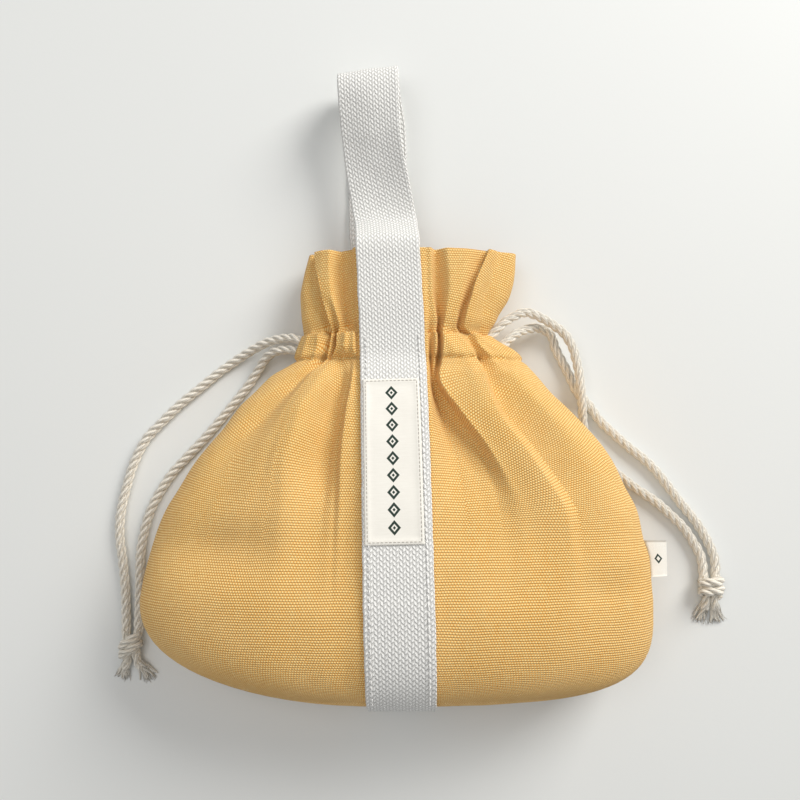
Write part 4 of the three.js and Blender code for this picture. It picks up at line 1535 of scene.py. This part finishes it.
    def label(self, material: bpy.types.Material) -> bpy.types.Object:
        """The cloth label: a thin slab with a turned, stitched-down hem.

        Args:
            material: Its material.

        Returns:
            The object.
        """
        across, index, lift = self.label_grid()
        top = self.place(index, across, lift)
        floor = np.minimum(lift, self.form.sizes.strap_lift + 0.25)
        bottom = self.place(index, across, floor)
        rows, columns = across.shape
        climb = (index - index[0, 0]) * self.STEP
        uv = np.stack([across + self.form.sizes.label_skew, climb], axis=-1).reshape(-1, 2)
        quads = grid_faces(rows, columns)
        shape = Shape()
        shape.add(top, quads[:, ::-1], uv)
        shape.add(bottom, quads, uv)
        ring = np.r_[
            np.arange(columns), np.arange(1, rows) * columns + columns - 1,
            (rows - 1) * columns + np.arange(columns - 2, -1, -1), np.arange(rows - 2, 0, -1) * columns,
        ]
        after = np.roll(ring, -1)
        total = rows * columns
        wall = np.stack([ring, total + ring, total + after, after], axis=1)
        shape.faces.append(wall)
        shape.corners.append(uv[wall % total].reshape(-1, 2))
        piece = shape.build("label_cloth")
        piece.data.materials.append(material)
        return piece

    def label_stitches(self, material: bpy.types.Material) -> bpy.types.Object:
        """The fine stitches round the label's hem.

        Args:
            material: The thread's material.

        Returns:
            The object.
        """
        size = self.form.sizes
        half, inset, pitch = size.label_width / 2 - 1.5, 1.5, 2.3
        low = self.index_at(size.label_start, Face.FRONT)
        length = size.label_length
        high = length - inset
        corners = np.array([[-half, inset], [half, inset], [half, high], [-half, high], [-half, inset]])
        shape = Shape()
        level = size.strap_lift + 0.3 + 0.98
        for start, end in zip(corners[:-1], corners[1:]):
            count = int(round(np.linalg.norm(end - start) / pitch))
            for k in range(count):
                t = (k + 0.5 + np.array([-0.36, -0.2, 0, 0.2, 0.36])) / count
                spot = start + (end - start) * t[:, None]
                dip = level - 0.16 * np.abs(np.linspace(-1, 1, 5)) ** 3
                line = self.place(low + spot[:, 1] / self.STEP, spot[:, 0] - size.label_skew, dip)
                tube(shape, line, np.array([0.1, 0.19, 0.22, 0.19, 0.1]), 5)
        piece = shape.build("label_stitches")
        piece.data.materials.append(material)
        return piece


class Tag:
    """The small folded tag in the right side seam."""

    def __init__(self, form: BagForm) -> None:
        """Keeps the form that it is sewn to.

        Args:
            form: The bag's form.
        """
        self.form = form

    def make(self, material: bpy.types.Material) -> bpy.types.Object:
        """Builds the tag: a ribbon folded round its outer end, so its section is a long hairpin.

        Args:
            material: Its material.

        Returns:
            The object.
        """
        size = self.form.sizes
        v = np.linspace(0, size.tag_height, 18)
        y = size.tag_start + v
        reach = float(self.form.right(np.array([size.tag_start]))[0]) + 0.6 + size.tag_length
        inner = self.form.right(y) + 0.4
        thick, open_gap = 0.42, 0.45
        bend = np.radians(np.linspace(-90, 90, 9))
        run = np.linspace(0, 1, 9)
        outer_radius = open_gap / 2 + thick
        out_u = np.r_[run, 1 + 0 * bend[1:-1], run[::-1]]
        out_c = np.r_[0 * run, np.cos(bend[1:-1]), 0 * run]
        out_h = np.r_[-outer_radius + 0 * run, outer_radius * np.sin(bend[1:-1]), outer_radius + 0 * run]
        in_h = np.clip(out_h, -open_gap / 2, open_gap / 2)
        section_u = np.r_[out_u, out_u[::-1]]
        section_c = np.r_[out_c * outer_radius, out_c[::-1] * open_gap / 2]
        section_h = np.r_[out_h, in_h[::-1]]
        tip = reach - outer_radius
        x = inner[:, None] + (tip - inner[:, None]) * section_u[None] + section_c[None]
        droop = -1.6 * section_u[None] ** 2 + 0.35 * noise(v[:, None] / 8, section_u[None] * 1.5, 41)
        z = self.form.seam(y)[:, None] - 0.2 + droop + section_h[None]
        skew = -0.5 * section_u[None] * (v[:, None] / size.tag_height - 0.5)
        grid = np.stack([x, y[:, None] + skew, z], axis=-1)
        columns = len(section_u)
        quads = grid_faces(len(v), columns, wrap_columns=True)
        uv = np.stack([x - inner[:, None], v[:, None] + 0 * x], axis=-1).reshape(-1, 2)
        shape = Shape()
        shape.add(grid, quads[:, ::-1], uv)
        half = columns // 2
        k = np.arange(half - 1)
        for row, turned in ((0, True), (len(v) - 1, False)):
            first = row * columns
            strip = np.stack([first + k, first + k + 1, first + columns - 2 - k, first + columns - 1 - k], axis=1)
            strip = strip if turned else strip[:, ::-1]
            shape.faces.append(strip)
            shape.corners.append(uv[strip].reshape(-1, 2))
        piece = shape.build("tag_ribbon")
        piece.data.materials.append(material)
        return piece


class Rope:
    """Three-strand twisted cotton rope."""

    LAY = 17.5
    STEP = 0.75
    SIDES = 10
    TOUCH = 2.155
    PRESSED = 1.1

    def __init__(self, diameter: float) -> None:
        """Works out the plies from the rope's diameter D: d = 1.1 D / 2.155, a tenth over where they just touch.

        Their centres lie (D - d) / 2 from the rope's.

        Args:
            diameter: The rope's diameter.
        """
        self.ply = diameter / self.TOUCH * self.PRESSED
        self.reach = (diameter - self.ply) / 2

    def twist(self, shape: Shape, line: Array, start: float = 0.0, shrink: Array | float = 1.0) -> None:
        """Adds the three plies along a line, each ply's centre at P + r (cos(2 pi s / lay) N + sin(2 pi s / lay) B).

        Args:
            shape: What they are added to.
            line: The rope's centreline, evenly sampled.
            start: The first ply's turn at the start.
            shrink: The rope's size at each point over its full size.
        """
        normal, side, _ = line_frames(line)
        along = np.r_[0, np.cumsum(np.linalg.norm(np.diff(line, axis=0), axis=1))]
        shrink = np.broadcast_to(shrink, (len(line),))
        uneven = 1 + 0.05 * noise(along / 5, 0 * along + start, 51)
        for k in range(3):
            turn = start + 2 * math.pi * (along / self.LAY + k / 3)
            reach = (self.reach * shrink)[:, None]
            centre = line + reach * (np.cos(turn)[:, None] * normal + np.sin(turn)[:, None] * side)
            tube(shape, centre, self.ply / 2 * shrink * uneven, self.SIDES)


class Cords:
    """The four free strands, two knots and their frayed ends."""

    LEAD = 14.0

    def __init__(self, sizes: BagSizes, material: bpy.types.Material) -> None:
        """Keeps the rope's section and finish.

        Args:
            sizes: The driving sizes.
            material: The rope's material.
        """
        self.rope = Rope(sizes.cord)
        self.sizes = sizes
        self.material = material

    def strand(self, name: str) -> tuple[bpy.types.Object, Array]:
        """One strand along its route.

        Args:
            name: Its CAD node.

        Returns:
            The object and its centreline.
        """
        route = np.array(CORD_ROUTES[name], float)
        inside = route[0] + self.LEAD * unit(route[0] - route[1]) + np.array([0.0, -3.0, -3.0])
        line = smooth_path(np.vstack([inside, route]), self.rope.STEP)
        shape = Shape()
        self.rope.twist(shape, line, start=float(len(name)))
        piece = shape.build(name.replace("drawcord", "rope"))
        piece.data.materials.append(self.material)
        length = np.linalg.norm(np.diff(line, axis=0), axis=1).sum()
        LOG.info("%s: %.0f mm", piece.name, length)
        return piece, line

    def knot(self, name: str, wrap: Array, cores: Sequence[Array]) -> bpy.types.Object:
        """An overhand knot: a strand wrapped round the two ends that run down inside it.

        Args:
            name: The piece's name.
            wrap: The wrap's route.
            cores: The routes of the ends inside.

        Returns:
            The object.
        """
        shape = Shape()
        line = smooth_path(wrap, self.rope.STEP)
        ends = smooth(np.minimum(np.arange(len(line)), np.arange(len(line))[::-1]), -1, 8)
        self.rope.twist(shape, line, start=0.7, shrink=0.6 + 0.4 * ends)
        for core in cores:
            inside = smooth_path(core, self.rope.STEP)
            self.rope.twist(shape, inside, start=2.1, shrink=0.86)
        piece = shape.build(name)
        piece.data.materials.append(self.material)
        return piece

    def tassel(self, name: str, bunches: Sequence[tuple[Array, float, float, float]], seed: int) -> bpy.types.Object:
        """Frayed rope ends: thick loose yarns and fine fibres that fan out on the table.

        Args:
            name: The piece's name.
            bunches: For each rope end its root, its heading in degrees from -Y, its spread in degrees and its length.
            seed: Picks the yarns.

        Returns:
            The object.
        """
        rng = np.random.default_rng(seed)
        shape = Shape()
        for root, heading, spread, length in bunches:
            for count, thick, longer, sides in ((9, 0.95, 1.0, 7), (34, 0.24, 1.14, 4)):
                for _ in range(count):
                    turn = math.radians(heading + spread * rng.uniform(-1, 1))
                    reach = length * longer * rng.uniform(0.72, 1.05)
                    t = np.linspace(0, 1, 9)
                    curl = rng.uniform(-1, 1, 2) * reach * 0.16
                    way = np.array([math.sin(turn), -math.cos(turn)])
                    cross = np.array([way[1], -way[0]])
                    offset = rng.uniform(-1, 1) * 1.9
                    flat = root[:2] + cross * offset + np.outer(t * reach, way)
                    flat += np.outer(curl[0] * t**2 + curl[1] * np.sin(5 * t) * 0.35, cross)
                    start = max(thick, root[2] + rng.uniform(-1.8, 1.6))
                    ground = thick + rng.uniform(0, 1) * 2.2 * (1 - t) + 0.35 * rng.uniform(0, 1)
                    height = start + (ground - start) * smooth(t, 0, 0.75)
                    taper = thick * (1 - 0.55 * t**2)
                    tube(shape, np.column_stack([flat, height]), taper, sides)
        piece = shape.build(name)
        piece.data.materials.append(self.material)
        return piece


def wrap_route(centre: tuple[float, float], high: float, turns: float, radii: tuple[float, float], pitch: float,
               tilt: float, start: float) -> Array:
    """A slanted helix round the rope ends: x = a cos t, z = c sin t, y falls by pitch each turn and tilts with x.

    Args:
        centre: Its middle on the table.
        high: The height of its axis.
        turns: How many turns.
        radii: Its half width and half height to the rope's middle.
        pitch: The fall along y for each turn.
        tilt: How much y rises with x.
        start: The first angle in degrees.

    Returns:
        Points of the route.
    """
    t = np.linspace(0, turns * 2 * math.pi, int(14 * turns)) + math.radians(start)
    x = radii[0] * np.cos(t)
    z = high + radii[1] * np.sin(t)
    y = pitch * turns / 2 - pitch * (t - t[0]) / (2 * math.pi) + tilt * x
    return np.column_stack([centre[0] + x, centre[1] + y, z])


@dataclass(frozen=True)
class KnotPlan:
    """Where a knot and its frayed ends lie, in millimetres.

    Args:
        centre: The wrap's middle on the table.
        radii: The wrap's half width and half height.
        fall: How far each turn falls along y.
        tilt: How much the wrap rises with x.
        cores: The routes of the two ends inside the wrap.
        ends: For each rope end its root, heading and spread in degrees, and length.
        seed: Picks the yarns of the ends.
    """

    centre: tuple[float, float]
    radii: tuple[float, float]
    fall: float
    tilt: float
    cores: tuple[tuple[tuple[float, float, float], ...], ...]
    ends: tuple[tuple[tuple[float, float, float], float, float, float], ...]
    seed: int

    HEIGHT = 6.7
    TURNS = 2.1
    START = -40.0

    def wrap(self) -> Array:
        """The wrap's route.

        Returns:
            Its points.
        """
        return wrap_route(self.centre, self.HEIGHT, self.TURNS, self.radii, self.fall, self.tilt, self.START)


KNOTS = {
    "left": KnotPlan(
        (-163.6, 24.0), (4.7, 3.6), 5.2, 0.42,
        (((-167, 33, 5), (-166, 24, 5.5), (-166, 15, 4.5), (-167.5, 10, 3.4)),
         ((-159.7, 33, 5), (-161, 24, 5.5), (-160, 15, 4.5), (-158, 10, 3.4))),
        (((-166.5, 14, 4.5), -22.0, 24.0, 11.5), ((-158.5, 14, 4.5), 30.0, 24.0, 12.5)), 71,
    ),
    "right": KnotPlan(
        (194.0, 59.5), (5.6, 3.6), 5.3, -0.1,
        (((197.6, 67, 5), (196.5, 58, 5.5), (196.5, 50, 4.5), (197.5, 46, 3.4)),
         ((190.4, 67, 5), (191.5, 58, 5.5), (191.5, 50, 4.5), (190.5, 46, 3.4))),
        (((196.5, 50, 4.5), 14.0, 20.0, 12.5), ((191.5, 50, 4.5), -14.0, 20.0, 12.0)), 72,
    ),
}
THREAD = ClothFinish((0.93, 0.92, 0.9), (0.8, 0.79, 0.77), (0.3, 0.6), 0.05, 0.75, 0.05)
HEM_THREAD = ClothFinish((0.56, 0.53, 0.48), (0.42, 0.39, 0.34), (0.3, 0.6), 0.05, 0.8, 0.05)


def dress() -> None:
    """Builds all pieces, the cords first, gives them finishes, parents them to the body and hides the CAD nodes that
    they replace.
    """
    cords = Cords(SIZES, rope_material(ROPE))
    strands = {name: cords.strand(name) for name in CORD_ROUTES}
    knots = {
        side: cords.knot(f"rope_knot_{side}", plan.wrap(), [np.array(core, float) for core in plan.cores])
        for side, plan in KNOTS.items()
    }
    tassels = {
        side: cords.tassel(f"rope_ends_{side}", [(np.array(end[0], float), *end[1:]) for end in plan.ends], plan.seed)
        for side, plan in KNOTS.items()
    }
    form = BagForm(SIZES)
    canvas = Canvas(form).make(canvas_material(CANVAS))
    strap = Strap(form)
    webbing = strap.band(webbing_material(WEBBING))
    stitches = strap.stitches(fine_material("thread", THREAD))
    label = strap.label(fine_material("label", LABEL, lozenge_chain))
    hem = strap.label_stitches(fine_material("hem_thread", HEM_THREAD))
    tag = Tag(form).make(fine_material("tag", LABEL, single_lozenge))
    rides = [
        (canvas, "canvas", "canvas_body"), (webbing, "webbing", "webbing_strap"), (stitches, "webbing", None),
        (label, "label", "woven_label"), (hem, "label", None), (tag, "tag", "side_tag"),
    ]
    rides += [(piece, "cord", f"knot_{side}") for side, piece in knots.items()]
    rides += [(piece, "cord", None) for piece in tassels.values()]
    rides += [(piece, "cord", name) for name, (piece, _) in strands.items()]
    for piece, slot, node in rides:
        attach(piece, BODY)
        if node is not None:
            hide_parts(node)
    declare_soft(strands, knots)


def declare_soft(
    strands: dict[str, tuple[bpy.types.Object, Array]],
    knots: dict[str, bpy.types.Object],
) -> None:
    """Works out each strand's centreline in metres and the knot at its end, and does nothing more with them.
        knots: The knots by side.
    """
    for name, (piece, line) in strands.items():
        places = (line + ORIGIN) * MM
        knot = knots["left" if "left" in name else "right"]


@dataclass(frozen=True)
class Softbox:
    """A square soft light that points at the bag.

    Args:
        name: Its name.
        place: Where it is, in metres.
        size: Its side in metres.
        energy: Its power in watts.
        colour: Its colour.
    """

    name: str
    place: tuple[float, float, float]
    size: float
    energy: float
    colour: tuple[float, float, float]

    TARGET = (0.0, 0.0, 0.02)

    def put(self) -> None:
        """Adds the light to the scene."""
        data = bpy.data.lights.new(self.name, "AREA")
        data.size, data.energy, data.color = self.size, self.energy, self.colour
        light = bpy.data.objects.new(self.name, data)
        light.location = self.place
        light.rotation_euler = direction_euler(np.array(self.TARGET) - np.array(self.place))
        bpy.context.scene.collection.objects.link(light)


LIGHTS = (
    Softbox("key", (1.25, 1.3, 1.1), 1.1, 43.0, (1.0, 0.985, 0.955)),
    Softbox("fill", (-0.35, 0.1, 1.25), 0.8, 4.0, (1.0, 0.99, 0.97)),
)
CAMERA_PLACE = (-0.00308, -0.0491, 0.4828)
CAMERA_TILT = math.radians(4.0)
CAMERA_LENS, CAMERA_SENSOR = 34.2, 36.0


def light_and_camera() -> None:
    """A pale table, soft light from the upper right, and the camera nearly straight above."""
    bpy.ops.mesh.primitive_plane_add(size=6.0, location=(0, 0, -0.0003))
    table = bpy.context.object
    table.name = "table"
    graph = Graph("table")
    tone = graph.place_noise(3.0, 2.0)
    colour = graph.mix(tone, (0.765, 0.775, 0.76), (0.79, 0.8, 0.785))
    table.data.materials.append(graph.finish(colour, 0.6, graph.place_noise(400.0), 0.02, 0.0))

    camera = bpy.data.objects.new("camera", bpy.data.cameras.new("camera"))
    camera.data.lens, camera.data.sensor_width = CAMERA_LENS, CAMERA_SENSOR
    camera.data.clip_start = 0.05
    camera.location = CAMERA_PLACE
    camera.rotation_euler = (CAMERA_TILT, 0.0, 0.0)
    bpy.context.scene.collection.objects.link(camera)
    bpy.context.scene.camera = camera

    for light in LIGHTS:
        light.put()

    world = bpy.data.worlds.new("studio")
    world.use_nodes = True
    background = world.node_tree.nodes["Background"]
    background.inputs["Color"].default_value = (0.985, 0.99, 1.0, 1.0)
    background.inputs["Strength"].default_value = 0.35
    bpy.context.scene.world = world
    bpy.context.scene.view_settings.view_transform = "Standard"


def direction_euler(aim: Array) -> tuple[float, float, float]:
    """The turn that points an object's -Z along a direction.

    Args:
        aim: The direction.

    Returns:
        Euler angles.
    """
    x, y, z = unit(aim)
    return (math.acos(-z), 0.0, math.atan2(-x, y))


def main() -> None:
    """Builds the scene."""
    logging.basicConfig(level=logging.INFO, format="%(name)s: %(message)s")
    light_and_camera()
    dress()


if __name__ == "__main__":
    main()
